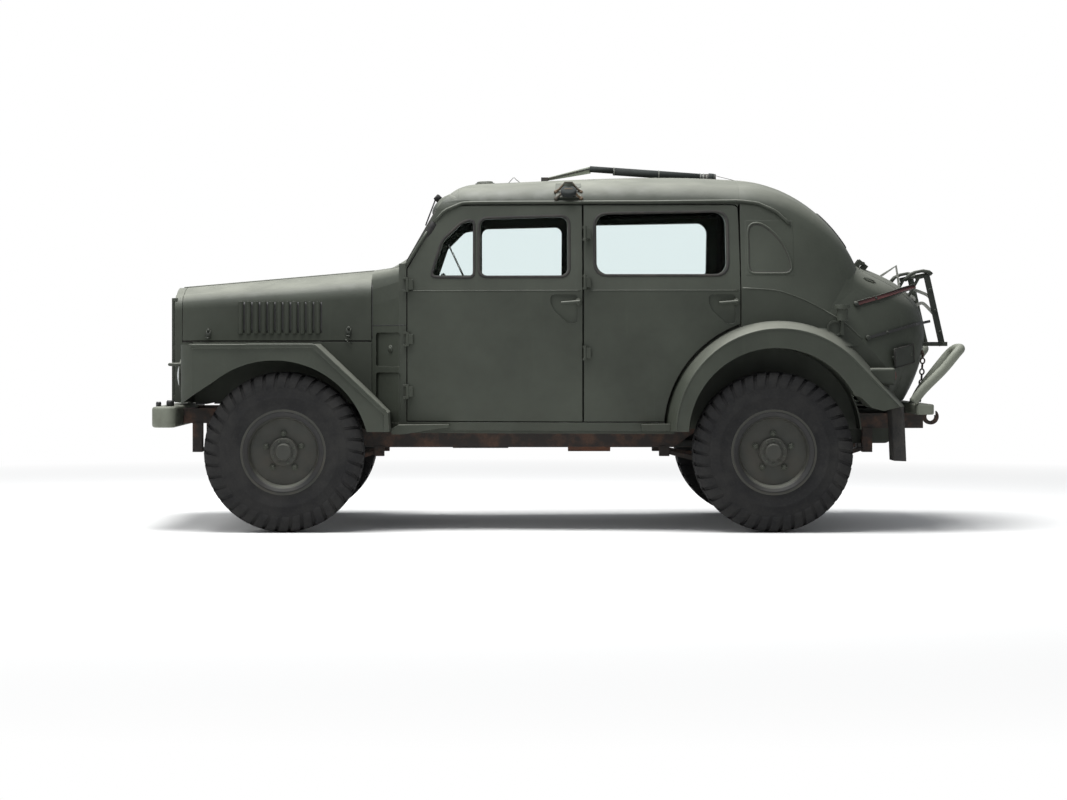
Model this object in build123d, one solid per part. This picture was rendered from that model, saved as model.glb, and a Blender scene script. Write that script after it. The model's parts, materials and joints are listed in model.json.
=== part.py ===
from build123d import *
import math
import os

# An army 4x4 car of the 1950s: a rounded four-door saloon body on a tall
# leaf-sprung chassis. Millimetres. +X points to the rear, +Z up, the left
# side is -Y. The origin is on the ground, midway along and across the car.

# Running gear
wheelbase = 2680
front_axle_x = -1512
tyre_radius = 440
wheel_plane_y = 800
rim_seat_radius = 214
rim_flange_radius = 234
dish_radius = 181
hub_radius = 78
hub_cap_radius = 47
hub_reach = 88
drum_radius = 160
spindle_radius = 28
kingpin_y = 660
steering_ball_radius = 75
steering_arm = 190
kingpin_radius = 22
kingpin_lift = 12
axle_tube_radius = 45
differential_radius = 140
differential_y = 120
brake_plate_y = 705
cup_radius = 90
cup_lip = 25
shaft_z = 455

# Chassis
rail_y = 372
rail_width = 54
rail_height = 85
rail_bottom = 452
spring_width = 46
spring_leaf = 44

# Body
sill_bottom = 553
door_bottom = 605
door_top = 1800
door_shoulder_z = 1448
door_brow_x = -640
door_brow_radius = 170
rear_brow_radius = 40
pillar_gap = 10
door_depth_y = 540
glass_depth = 20
glass_thickness = 6
belt_z_level = 1330
front_post_y = 658
middle_post_y = 793
lug_height = 12
leaf_bite = 10
front_hinge_heights = (767, 1059, 1361)
rear_hinge_heights = (982, 1372, 1640)
front_handle = (104, 1262, 778)
rear_handle = (973, 1262, 782)
pillar_clear = 5
pillar_depth = 40
pillar_width = 70
pillar_top = 1860
screen_inner_y = 26
screen_outer_y = 560
screen_low_z = 1510
screen_high_z = 1775
tank_front_x = 1500
tank_rear_x = 1890
rear_glass_y = 330
rear_glass_low = 1592
rear_glass_high = 1760
lid_top_angle = 38
lid_low_angle = 70.5
lid_hinge_lift = 3.6
lid_hinge_y = 300
lid_wedge_reach = 1500
flare_tip_x = 1847
flare_tip_z = 688
flare_seat_y = 758
house_wall = 8
house_bottom = 560
boot_floor = 699.5
tunnel_y = 140
tunnel_top = 790
front_nose_x = -1362
rear_nose_x = 968
pad_bottom = 381
pad_half = 30
arm_top = 480
lamp_y = 620
lamp_z = 856
nose_top = 1360
grille_bars = 11
grille_pitch = 50
louvre_start = -1795
column_foot = (-1280, -330, 800)
column_head = (-560, -330, 1230)
column_radius = 20
dash_front_x = -885
dash_rear_x = -760
dash_clear = 12
steering_wheel_radius = 210
wall = 42
sheet = 10
wing_sheet = 16
wing_lip = 22
apron_depth = 8
recess_depth = 8
groove_depth = 5
groove_width = 14
brow_z = 1888
cowl_front_x = -1049
screen_base_x = -890
tail_pivot_x = 1000
tail_pivot_z = 553
roof_split_x = -560
door_gap = 6
front_door_x = -842
middle_door_x = 130
rear_door_end_x = 994
hinge_stand_off = 10
hinge_radius = 9
hinge_pin_radius = 4
hinge_length = 56
rear_hinge_set = 10
arch_x = 1180
arch_z = 531
arch_radius = 479
flare_radius = 566
flare_x = 1200
flare_z = 548
flare_root_radius = 622
flare_y = 945
wheelhouse_y = 600
screen_vee = 3.0
boot_half_width = 420

# Hood and front
hood_front_x = -2130
nose_x = -2175
hood_bottom = 1052
hood_front_top = 1358
hood_rear_top = 1453
hood_pin_radius = 6
louvre_count = 11
louvre_pitch = 44
fender_y = 945
fender_front_x = -2078
fender_top = 1028
front_arch_x = -1560
front_arch_z = 420
front_arch_radius = 522

# Fittings outside
aerial_pivot = (-68, 1985)
aerial_elbow = (196, 2048)
aerial_tip = (905, 1992)
aerial_roll_radius = 16
aerial_clamp_x = 875
roof_cup = (52, -640, 1922)
roof_cup_radius = 32
roof_cup_bore = 12
roof_cup_depth = 28
side_cup_x = 1554
side_cup_top = 1247
side_cup_radius = 30
side_cup_cap = 43
side_cup_bore = 14
side_cup_depth = 60
side_ring = (1517, 1118, 45)
step_reach = 60

# Clearances
fit = 0.3
running_gap = 0.5

# Shared places that follow from the sizes above
rear_axle_x = front_axle_x + wheelbase
axle_z = tyre_radius
floor_top = sill_bottom
front_hinge_y = front_post_y + hinge_stand_off + 4
rear_hinge_x = middle_door_x + rear_hinge_set
middle_hinge_y = middle_post_y + hinge_stand_off + 3
floor_bottom = rail_bottom + rail_height + fit
# length, half width, top, fall from the middle to the shoulder, corner radius
hood_sections = [
    (hood_front_x, 305, hood_front_top, 45, 85),
    (cowl_front_x - 3, 450, hood_rear_top, 52, 110),
]


def outline(points, radius=0):
    """A flat closed outline, with every corner rounded alike."""
    sketch = make_face(Polyline(*points, close=True))
    return fillet(sketch.vertices(), radius) if radius else sketch


def across(sketch, y_from, y_to):
    """Run an outline of length and height across the car."""
    return Pos(0, y_from, 0) * extrude(Plane.XZ * sketch, amount=y_to - y_from, dir=(0, 1, 0))


def upward(sketch, z_from, z_to):
    """Run a plan outline up the car."""
    return Pos(0, 0, z_from) * extrude(sketch, amount=z_to - z_from)


def block(x_from, x_to, y_from, y_to, z_from, z_to):
    """A plain box between two corners."""
    size = (x_to - x_from, y_to - y_from, z_to - z_from)
    middle = ((x_from + x_to) / 2, (y_from + y_to) / 2, (z_from + z_to) / 2)
    return Pos(*middle) * Box(*size)


def rod(start, end, radius):
    """A round bar from one point to another."""
    run = Vector(*end) - Vector(*start)
    plane = Plane(origin=start, z_dir=run.normalized())
    return extrude(plane * Circle(radius), amount=run.length)


def tube_path(points, bend, radius):
    """A bent tube along straight runs and round corners."""
    path = FilletPolyline(*points, radius=bend)
    start = Plane(origin=path @ 0, z_dir=path % 0)
    return sweep(start * Circle(radius), path=path)


def disc_y(x, z, radius, y_from, y_to):
    """A round disc or bar that lies across the car."""
    return rod((x, y_from, z), (x, y_to, z), radius)


def disc_x(x_from, x_to, y, z, radius):
    """A round bar that lies along the car."""
    return rod((x_from, y, z), (x_to, y, z), radius)


def turned(points, x, z, y, outward):
    """Turn a profile of radius and reach about a wheel's own line."""
    profile = [(x + radius, y + outward * reach) for radius, reach in points]
    face = make_face(Polyline(*profile, close=True))
    return Pos(0, 0, z) * revolve(face, axis=Axis((x, 0, 0), (0, 1, 0)))


def mirrored(shape):
    """The same piece on the other side of the car."""
    return mirror(shape, about=Plane.XZ)


def save(shape, node):
    export_step(shape, f"parts/{node}.step")


# Body sections

# length, bottom half width, belt half width, rail half width, roof edge half
# width, then the heights of belt, rail, roof edge and roof
cabin_sections = [
    (screen_base_x, 642, 648, 590, 470, 1328, 1780, 1895, 1948),
    (-400, 722, 728, 650, 520, 1328, 1790, 1908, 1955),
    (250, 792, 800, 690, 560, 1328, 1802, 1930, 1982),
    (tail_pivot_x, 792, 800, 690, 540, 1330, 1798, 1915, 1975),
]
cowl_sections = [
    (cowl_front_x, 452, 452, 446, 330, 1250, 1335, 1434, 1457),
    (screen_base_x, 642, 648, 636, 480, 1290, 1378, 1462, 1479),
]
# angle from upright about the tail pivot, then half widths and distances
# from the pivot at the swell crease, rail, roof edge and centre line
tail_sections = [
    (0, 800, 690, 540, 777, 1245, 1362, 1422),
    (12, 800, 684, 528, 796, 1218, 1332, 1385),
    (24, 795, 672, 505, 802, 1135, 1246, 1299),
    (36.6, 785, 655, 475, 806, 1015, 1124, 1174),
    (47, 775, 645, 455, 820, 1050, 1180, 1244),
    (54, 765, 635, 440, 834, 1075, 1212, 1277),
    (65.7, 748, 612, 415, 872, 1020, 1148, 1214),
    (80, 720, 585, 400, 760, 860, 955, 1008),
]
tail_root = 150
tail_root_step = 60
notch_section = 3


def body_ring(bottom, side, belt, rail, edge, top, inset):
    """A closed section from its bottom, belt, rail, roof edge and top."""
    def mirror_y(point):
        return (-point[0], point[1])

    low = (bottom - inset, side)
    waist = (belt[0] - inset, belt[1])
    shoulder = (rail[0] - inset, rail[1] - inset * 0.4)
    eave = (edge[0] - inset * 0.4, edge[1] - inset)
    crown = (0, top - inset)
    bulge_y = (shoulder[0] + eave[0]) / 2 + (eave[1] - shoulder[1]) * 0.16
    bulge_z = (shoulder[1] + eave[1]) / 2 + (shoulder[0] - eave[0]) * 0.16
    bulge = (bulge_y, bulge_z)
    pieces = [
        Line(mirror_y(low), low),
        Line(low, waist),
        Line(waist, shoulder),
        ThreePointArc(shoulder, bulge, eave),
        ThreePointArc(eave, crown, mirror_y(eave)),
        ThreePointArc(mirror_y(eave), mirror_y(bulge), mirror_y(shoulder)),
        Line(mirror_y(shoulder), mirror_y(waist)),
        Line(mirror_y(waist), mirror_y(low)),
    ]
    return make_face(pieces)


def long_loft(sections, inset, bottom, front=None):
    """Loft the body's cross sections along its length."""
    faces = []
    for index, row in enumerate(sections):
        x, low, belt, rail, edge, belt_z, rail_z, edge_z, top_z = row
        if index == 0 and front is not None:
            x = front
        ring = body_ring(low, bottom, (belt, belt_z), (rail, rail_z), (edge, edge_z), top_z, inset)
        plane = Plane(origin=(x, 0, 0), x_dir=(0, 1, 0), z_dir=(1, 0, 0))
        faces.append(plane * ring)
    return loft(faces)


def fan_loft(rows, inset):
    """Loft sections that fan out about the tail pivot."""
    faces = []
    root = tail_root - (tail_root_step if inset > 0 else 0)
    for angle, belt, rail, edge, belt_r, rail_r, edge_r, top_r in rows:
        ring = body_ring(belt - 8, root, (belt, belt_r), (rail, rail_r), (edge, edge_r), top_r, inset)
        turn = math.radians(angle)
        forward = (math.cos(turn), 0, -math.sin(turn))
        plane = Plane(origin=(tail_pivot_x, 0, tail_pivot_z), x_dir=(0, 1, 0), z_dir=forward)
        faces.append(plane * ring)
    return loft(faces)


def tail_back(inset):
    """The tail from the roof down to the foot of the rear window."""
    return fan_loft(tail_sections[:notch_section + 1], inset)


def tail_boot(inset):
    """The tail from the foot of the rear window down to its lower edge."""
    return fan_loft(tail_sections[notch_section:], inset)


def screen_cutter(inset):
    """Everything ahead of the windscreen and above the cowl."""
    side = make_face(
        [
            Line((-884 + inset * 1.15, 1479), (-700 + inset * 1.15, 1800)),
            ThreePointArc((-700 + inset * 1.15, 1800), (-610, brow_z - inset), (-440, 1946 - inset)),
            Line((-440, 1946 - inset), (-440, 2100)),
            Line((-440, 2100), (-1300, 2100)),
            Line((-1300, 2100), (-1300, 1479)),
            Line((-1300, 1479), (-884 + inset * 1.15, 1479)),
        ]
    )
    vee = math.radians(screen_vee)
    halves = []
    for hand in (-1, 1):
        run = (math.sin(vee), hand * math.cos(vee), 0)
        halves.append(extrude(Plane.XZ * side, amount=800, dir=run))
    return halves[0] + halves[1]


def cabin_solid(inset):
    """Cabin and cowl as one full body, drawn in by a wall when it is hollowed."""
    bottom = sill_bottom - (0 if inset == 0 else 60)
    cabin = long_loft(cabin_sections, inset, bottom) - screen_cutter(inset)
    cowl_front = cowl_front_x + (0 if inset == 0 else 12)
    cowl = long_loft(cowl_sections, inset, bottom, cowl_front)
    return cabin + cowl


def front_door_outline(gap):
    """Side outline of the front door, or of its opening when a gap is given."""
    sketch = make_face(Polyline(
        (front_door_x - gap, door_bottom - gap),
        (middle_door_x - pillar_gap / 2 + gap, door_bottom - gap),
        (middle_door_x - pillar_gap / 2 + gap, door_top + gap),
        (door_brow_x - gap * 0.5, door_top + gap),
        (front_door_x - gap, door_shoulder_z + gap * 0.5), close=True,
    ))
    brow = sketch.vertices().sort_by(Axis.Y)[-2:].sort_by(Axis.X)[0]
    return fillet(brow, door_brow_radius)


def rear_door_outline(gap):
    """Side outline of the rear door, cut away round the wheel arch."""
    sketch = outline([
        (middle_door_x + pillar_gap / 2 - gap, door_bottom - gap),
        (rear_door_end_x + gap, door_bottom - gap),
        (rear_door_end_x + gap, door_top + gap),
        (middle_door_x + pillar_gap / 2 - gap, door_top + gap),
    ])
    brow = sketch.vertices().sort_by(Axis.Y)[-2:].sort_by(Axis.X)[-1]
    sketch = fillet(brow, rear_brow_radius)
    return sketch - Pos(flare_x, flare_z) * Circle(flare_root_radius + door_gap - gap)


def left_slice(sketch):
    """The left side of the car within a side outline."""
    return across(sketch, -1000, -door_depth_y)


# Window outlines
def vent_window():
    """The front door's small quarter light."""
    sketch = make_face(Polyline(
        (-705, 1412), (-478, 1412), (-478, 1712), (-540, 1700), (-640, 1600), close=True))
    return fillet(sketch.vertices(), 18)


def front_window():
    return outline([(-436, 1410), (44, 1410), (44, 1735), (-436, 1722)], 40)


def rear_window():
    return outline([(205, 1415), (918, 1415), (918, 1761), (205, 1748)], 66)


def hinge(x, y, z, door_leaf_y, body_leaf_y, arm_from, arm_to):
    """One outside hinge: the door's barrel and leaf, and the body's lugs and pin."""
    half = hinge_length / 2
    barrel = rod((x, -y, z - half), (x, -y, z + half), hinge_radius)
    bore = rod((x, -y, z - half - 1), (x, -y, z + half + 1), hinge_pin_radius + fit)
    leaf = block(x + pillar_gap / 2 + 1, x + 30, -y, -door_leaf_y, z - half, z + half)
    bridge = block(x, x + 30, -y - 4, -y + 4, z - half, z + half)
    door_part = barrel + leaf + bridge - bore
    lugs = rod((x, -y, z - half - lug_height), (x, -y, z + half + lug_height), hinge_pin_radius)
    for low in (z - half - lug_height, z + half + fit):
        high = low + lug_height - fit
        lugs = lugs + rod((x, -y, low), (x, -y, high), hinge_radius)
        lugs = lugs + block(x + arm_from, x, -y - 4, -y + 4, low, high)
        lugs = lugs + block(x + arm_from, x + arm_to, -y, -body_leaf_y, low, high)
    return door_part, lugs


def front_skin(z):
    """Half width of the body's skin at the front doors' hinges."""
    return front_post_y - max(0, z - belt_z_level) * 0.135


def middle_skin(z):
    """Half width of the body's skin at the rear doors' hinges."""
    return middle_post_y - max(0, z - belt_z_level) * 0.233


def door_handle(x, z, y):
    """A pull handle on a shaft that stands out of the door."""
    shaft = disc_y(x, z, 9, -y - 42, -y)
    grip = rod((x + 6, -y - 40, z + 2), (x - 96, -y - 40, z - 6), 9)
    return shaft + grip


# Doors and the fixed shell
def handle_recess(handle):
    """Side outline of the pocket that a hand needs behind a door handle."""
    x = handle[0]
    return outline([(x - 154, 1305), (x - 4, 1305), (x - 4, 1145), (x - 54, 1143), (x - 134, 1215),
                    (x - 154, 1260)], 24)


def skin_cut(sketch, full):
    """What a pocket takes off a skin: all that lies outside the drawn-in body."""
    return across(sketch, -1000, -400) - full


def make_doors(side, glass_layer):
    """Four doors with their glass; returns the hinge lugs that the body carries."""
    front_leaf = side & left_slice(front_door_outline(0))
    rear_leaf = side & left_slice(rear_door_outline(0))
    rear_leaf = rear_leaf & door_swing(rear_door_end_x - rear_hinge_x)
    front_glass = []
    for window in (vent_window(), front_window()):
        front_leaf = front_leaf - left_slice(window)
        front_glass += (glass_layer & left_slice(offset(window, -fit))).solids()
    rear_leaf = rear_leaf - left_slice(rear_window())
    rear_glass = (glass_layer & left_slice(offset(rear_window(), -fit))).solids()

    lugs_front = []
    for z in front_hinge_heights:
        skin = front_skin(z) - leaf_bite
        barrel, lugs = hinge(front_door_x, front_hinge_y, z, skin, skin - leaf_bite, -24, -3)
        front_leaf = front_leaf + barrel
        lugs_front.append(lugs)
    lugs_middle = []
    for z in rear_hinge_heights:
        skin = middle_skin(z)
        post = skin - wall - pillar_clear - leaf_bite
        barrel, lugs = hinge(rear_hinge_x, middle_hinge_y, z, skin - leaf_bite, post,
                             -rear_hinge_set - 2, -rear_hinge_set + 2)
        rear_leaf = rear_leaf + barrel
        lugs_middle.append(lugs)
    pocket_floor = long_loft(cabin_sections, recess_depth, sill_bottom)
    front_leaf = front_leaf - skin_cut(handle_recess(front_handle), pocket_floor)
    front_leaf = front_leaf + door_handle(*front_handle)
    rear_leaf = rear_leaf - skin_cut(handle_recess(rear_handle), pocket_floor)
    rear_leaf = rear_leaf + door_handle(*rear_handle)

    save(front_leaf, "door_front_left")
    save(mirrored(front_leaf), "door_front_right")
    save(rear_leaf, "door_rear_left")
    save(mirrored(rear_leaf), "door_rear_right")
    save(Compound(front_glass), "glass_front_left")
    save(mirrored(Compound(front_glass)), "glass_front_right")
    save(Compound(rear_glass), "glass_rear_left")
    save(mirrored(Compound(rear_glass)), "glass_rear_right")
    return lugs_front, lugs_middle


def both(shape):
    """A left-hand piece and its right-hand twin."""
    return shape + mirrored(shape)


def door_swing(radius):
    """The round that the rear door's far edge sweeps about its hinges."""
    return rod((rear_hinge_x, -middle_hinge_y, 500), (rear_hinge_x, -middle_hinge_y, 1900), radius)


def make_cabin():
    """Cowl, roof, sills and pillars: the fixed part of the cabin."""
    shell = cabin_solid(0) - cabin_solid(wall)
    swing_radius = rear_door_end_x - rear_hinge_x
    slots = left_slice(front_door_outline(door_gap))
    slots = slots + (left_slice(rear_door_outline(door_gap)) & door_swing(swing_radius + door_gap))
    shell = shell - slots - mirrored(slots)
    side = long_loft(cabin_sections, 0, sill_bottom) - long_loft(cabin_sections, wall, sill_bottom - 60)
    glass_layer = long_loft(cabin_sections, glass_depth, 700) - long_loft(
        cabin_sections, glass_depth + glass_thickness, 640)
    lugs_front, lugs_middle = make_doors(side, glass_layer)

    screen_holes = []
    for hand in (-1, 1):
        hole = outline([(screen_inner_y, screen_low_z), (screen_outer_y, screen_low_z),
                        (screen_outer_y - 40, screen_high_z), (screen_inner_y, screen_high_z)], 34)
        if hand < 0:
            hole = mirror(hole, about=Plane.YZ)
        screen_holes.append(hole)
    panes = []
    pane_layer = screen_cutter(glass_depth + glass_thickness) - screen_cutter(glass_depth)
    for hole in screen_holes:
        shell = shell - lengthwise(hole, -1000, -520)
        panes += (pane_layer & lengthwise(offset(hole, -fit), -1000, -520)).solids()

    reach = 1000
    front_box = block(-1100, front_door_x, -reach, reach, 500, 2100)
    brow_box = block(front_door_x, roof_split_x, -reach, reach, belt_z_level, 2100)
    cowl = shell & (front_box + brow_box)
    roof = shell & block(roof_split_x, tail_pivot_x, -reach, reach, belt_z_level, 2100)
    roof = roof - block(rear_door_end_x - 4, tail_pivot_x + 1, -reach, reach, 500, door_top + door_gap)
    sill_end = flare_x - math.sqrt(flare_root_radius ** 2 - (sill_bottom - flare_z) ** 2)
    sills = shell & block(front_door_x, sill_end, -reach, reach, 500, door_bottom - door_gap + 1)
    sills = sills - across(Pos(flare_x, flare_z) * Circle(flare_root_radius + fit), -reach, reach)
    for lugs in lugs_front:
        cowl = cowl + both(lugs)
    cowl = cowl - block(cowl_front_x - 5, cowl_front_x + 20, -tunnel_y, tunnel_y, 500, tunnel_top)
    column_hole = rod(column_foot, column_head, column_radius + fit)
    cowl = cowl - column_hole
    pocket_floor = cabin_solid(recess_depth)
    for low, high in ((905, 1095), (592, 872)):
        panel = outline([(-1024, low), (-880, low), (-880, high), (-1024, high)], 14)
        cowl = cowl - both(skin_cut(panel, pocket_floor))
    return cowl, roof, sills, lugs_middle, panes


def lengthwise(sketch, x_from, x_to):
    """Run an outline of width and height along the car."""
    plane = Plane(origin=(x_from, 0, 0), x_dir=(0, 1, 0), z_dir=(1, 0, 0))
    return extrude(plane * sketch, amount=x_to - x_from)


def make_pillars(lugs_middle):
    """The pillars between the doors, with the rear doors' hinge lugs."""
    gap = wall + pillar_clear
    outer = long_loft(cabin_sections, gap, sill_bottom)
    inner = long_loft(cabin_sections, gap + pillar_depth, sill_bottom)
    band = block(middle_door_x - pillar_width / 2, middle_door_x + pillar_width / 2, -900, -500,
                 sill_bottom, pillar_top)
    pillar = (outer - inner) & band
    pillar = max(pillar.solids(), key=lambda piece: piece.volume)
    result = pillar
    for lugs in lugs_middle:
        result = result + lugs
    return result


def make_tail():
    """The rounded tail: quarters, boot lid and rear window."""
    hole = outline([(-rear_glass_y, rear_glass_low), (rear_glass_y, rear_glass_low),
                    (rear_glass_y - 40, rear_glass_high), (-rear_glass_y + 40, rear_glass_high)], 46)
    layer = tail_back(glass_depth) - tail_back(glass_depth + glass_thickness)
    pane = layer & lengthwise(offset(hole, -fit), 1350, 1900)
    back = tail_back(0) - tail_back(wall) - lengthwise(hole, 1350, 1900)
    boot = tail_boot(0) - tail_boot(wall)
    lid = boot & lid_wedge(0)
    boot = boot - lid_wedge(door_gap)
    lid_part, lugs = lid_hinge(-lid_hinge_y)
    lid = lid + both(lid_part)
    arch = across(Pos(arch_x, arch_z) * Circle(arch_radius) + arch_tail(), -1000, 1000)
    half = block(900, 2200, -1000, 0, 500, 2100)
    panel = outline([(1041, 1423), (1278, 1423), (1278, 1600), (1190, 1694), (1041, 1694)], 50)
    groove = skin_cut(panel, tail_back(groove_depth)) - across(offset(panel, -groove_width), -1001, -399)
    shell = (back & half) + (boot & half) + lugs - groove
    return shell - arch, lid, pane, arch


def tail_crown(angle):
    """Radius of the tail's centre line at an angle about the tail pivot."""
    for (angle1, *_, top1), (angle2, *_, top2) in zip(tail_sections, tail_sections[1:]):
        if angle1 <= angle <= angle2:
            return top1 + (top2 - top1) * (angle - angle1) / (angle2 - angle1)
    return tail_sections[-1][-1]


def lid_hinge(y):
    """One boot lid hinge: the lid's barrel and arm, and the body's lugs and pin."""
    turn = math.radians(lid_top_angle)
    reach = tail_crown(lid_top_angle) + lid_hinge_lift
    spot = Pos(tail_pivot_x + reach * math.sin(turn), 0, tail_pivot_z + reach * math.cos(turn))
    half = hinge_length / 2
    place = spot * Rot(0, lid_top_angle, 0)
    barrel = rod((0, y - half, 0), (0, y + half, 0), hinge_radius)
    bore = rod((0, y - half - 1, 0), (0, y + half + 1, 0), hinge_pin_radius + fit)
    arm = block(0, 34, y - half, y + half, -44, 5)
    lid_part = place * (barrel + arm - bore)
    body_part = rod((0, y - half - lug_height, 0), (0, y + half + lug_height, 0), hinge_pin_radius)
    for low in (y - half - lug_height, y + half + fit):
        high = low + lug_height - fit
        body_part = body_part + rod((0, low, 0), (0, high, 0), hinge_radius)
        body_part = body_part + block(-34, -7, low, high, -40, 5)
    return lid_part, place * body_part


def arch_tail():
    """The straight run from the rear arch to the flare's rear tip."""
    return outline([(arch_x, 400), (1790, 400), (1766, 667), (1700, 684), (1640, 740), (arch_x, 900)])


def lid_wedge(gap):
    """The boot lid's part of the tail, or its opening when a gap is given."""
    points = [(0, 0)]
    spread = math.degrees(gap / 1180)
    for angle in (lid_top_angle - spread, lid_low_angle + spread):
        turn = math.radians(angle)
        points.append((lid_wedge_reach * math.sin(turn), lid_wedge_reach * math.cos(turn)))
    wedge = Pos(tail_pivot_x, tail_pivot_z) * outline(points)
    side = across(wedge, -boot_half_width - gap, boot_half_width + gap)
    face = outline([(-boot_half_width - gap, 860), (boot_half_width + gap, 860),
                    (boot_half_width + gap, 1700), (-boot_half_width - gap, 1700)], 60)
    return side & lengthwise(face, 1500, 2300)


def flare_outline(grow):
    """Side outline of the rear wheel's flare, outside its arch."""
    radius = flare_radius + grow
    tip_x = flare_tip_x + grow
    tip = (tip_x, flare_tip_z)
    reach_x = tip[0] - flare_x
    reach_z = tip[1] - flare_z
    distance = math.hypot(reach_x, reach_z)
    toward = math.atan2(reach_z, reach_x)
    turn = toward + math.acos(radius / distance)
    touch = (flare_x + radius * math.cos(turn), flare_z + radius * math.sin(turn))
    start_x = flare_x - math.sqrt(radius ** 2 - (sill_bottom - flare_z) ** 2)
    top = (flare_x, flare_z + radius)
    return make_face([
        Line((flare_x, sill_bottom), (start_x, sill_bottom)),
        ThreePointArc((start_x, sill_bottom), (flare_x - radius * 0.7071, flare_z + radius * 0.7071), top),
        ThreePointArc(top, (flare_x + radius * math.cos((turn + math.pi / 2) / 2),
                            flare_z + radius * math.sin((turn + math.pi / 2) / 2)), touch),
        Line(touch, tip),
        Line(tip, (flare_tip_x - 80, 667)),
        Line((flare_tip_x - 80, 667), (flare_x, sill_bottom)),
    ])


def flare_body(grow):
    """A rear flare as a full solid, grown by a clearance for what seats on it."""
    crest = flare_outline(grow)
    root = flare_outline(flare_root_radius - flare_radius + grow)
    plane_out = Plane(origin=(0, -flare_y - grow, 0), x_dir=(1, 0, 0), z_dir=(0, -1, 0))
    plane_in = Plane(origin=(0, -flare_seat_y, 0), x_dir=(1, 0, 0), z_dir=(0, -1, 0))
    return loft([plane_out * crest, plane_in * root])


def make_quarter(arch):
    """A rear quarter's flare and wheelhouse."""
    flare = flare_body(0) - arch
    house = across(Pos(arch_x, arch_z) * Circle(arch_radius + house_wall), -flare_seat_y - 4, -wheelhouse_y)
    house = house - across(Pos(arch_x, arch_z) * Circle(arch_radius), -1000, -wheelhouse_y - house_wall)
    house = house & block(500, 2000, -1000, 0, house_bottom, 1100)
    return flare, house


# Wheels and axles
def make_wheels():
    tyre_profile = [
        (rim_seat_radius, -108), (240, -109), (300, -124), (345, -125), (400, -119), (428, -106), (440, -90),
        (440, 90), (428, 106), (400, 119), (345, 125), (300, 124), (240, 109), (rim_seat_radius, 108),
    ]
    seat = rim_seat_radius - fit
    flange = rim_flange_radius
    barrel_profile = [
        (200, -118), (flange, -118), (flange, -109.3), (seat, -109.3),
        (seat, 109.3), (flange, 109.3), (flange, 118), (222, 118), (200, 104),
    ]
    dish_profile = [(60, 50), (190, 50), (201, 84), (201, 102), (192, 100), (dish_radius, 62), (60, 62)]
    hub_profile = [
        (spindle_radius + running_gap, -44), (hub_radius, -44), (hub_radius, 82), (72, hub_reach),
        (hub_cap_radius, hub_reach), (hub_cap_radius, 99), (40, 106), (0, 106), (0, 40),
        (spindle_radius + running_gap, 40),
    ]
    drum_profile = [(drum_radius - 10, -88), (drum_radius, -88), (drum_radius, 52), (drum_radius - 10, 52)]
    for end, x in (("front", front_axle_x), ("rear", rear_axle_x)):
        for side_name, hand in (("left", -1), ("right", 1)):
            y = hand * wheel_plane_y
            tyre = turned(tyre_profile, x, axle_z, y, hand)
            rim = turned(barrel_profile, x, axle_z, y, hand)
            for profile in (dish_profile, hub_profile, drum_profile):
                rim = rim + turned(profile, x, axle_z, y, hand)
            save(tyre, f"tyre_{end}_{side_name}")
            save(rim, f"rim_{end}_{side_name}")


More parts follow.
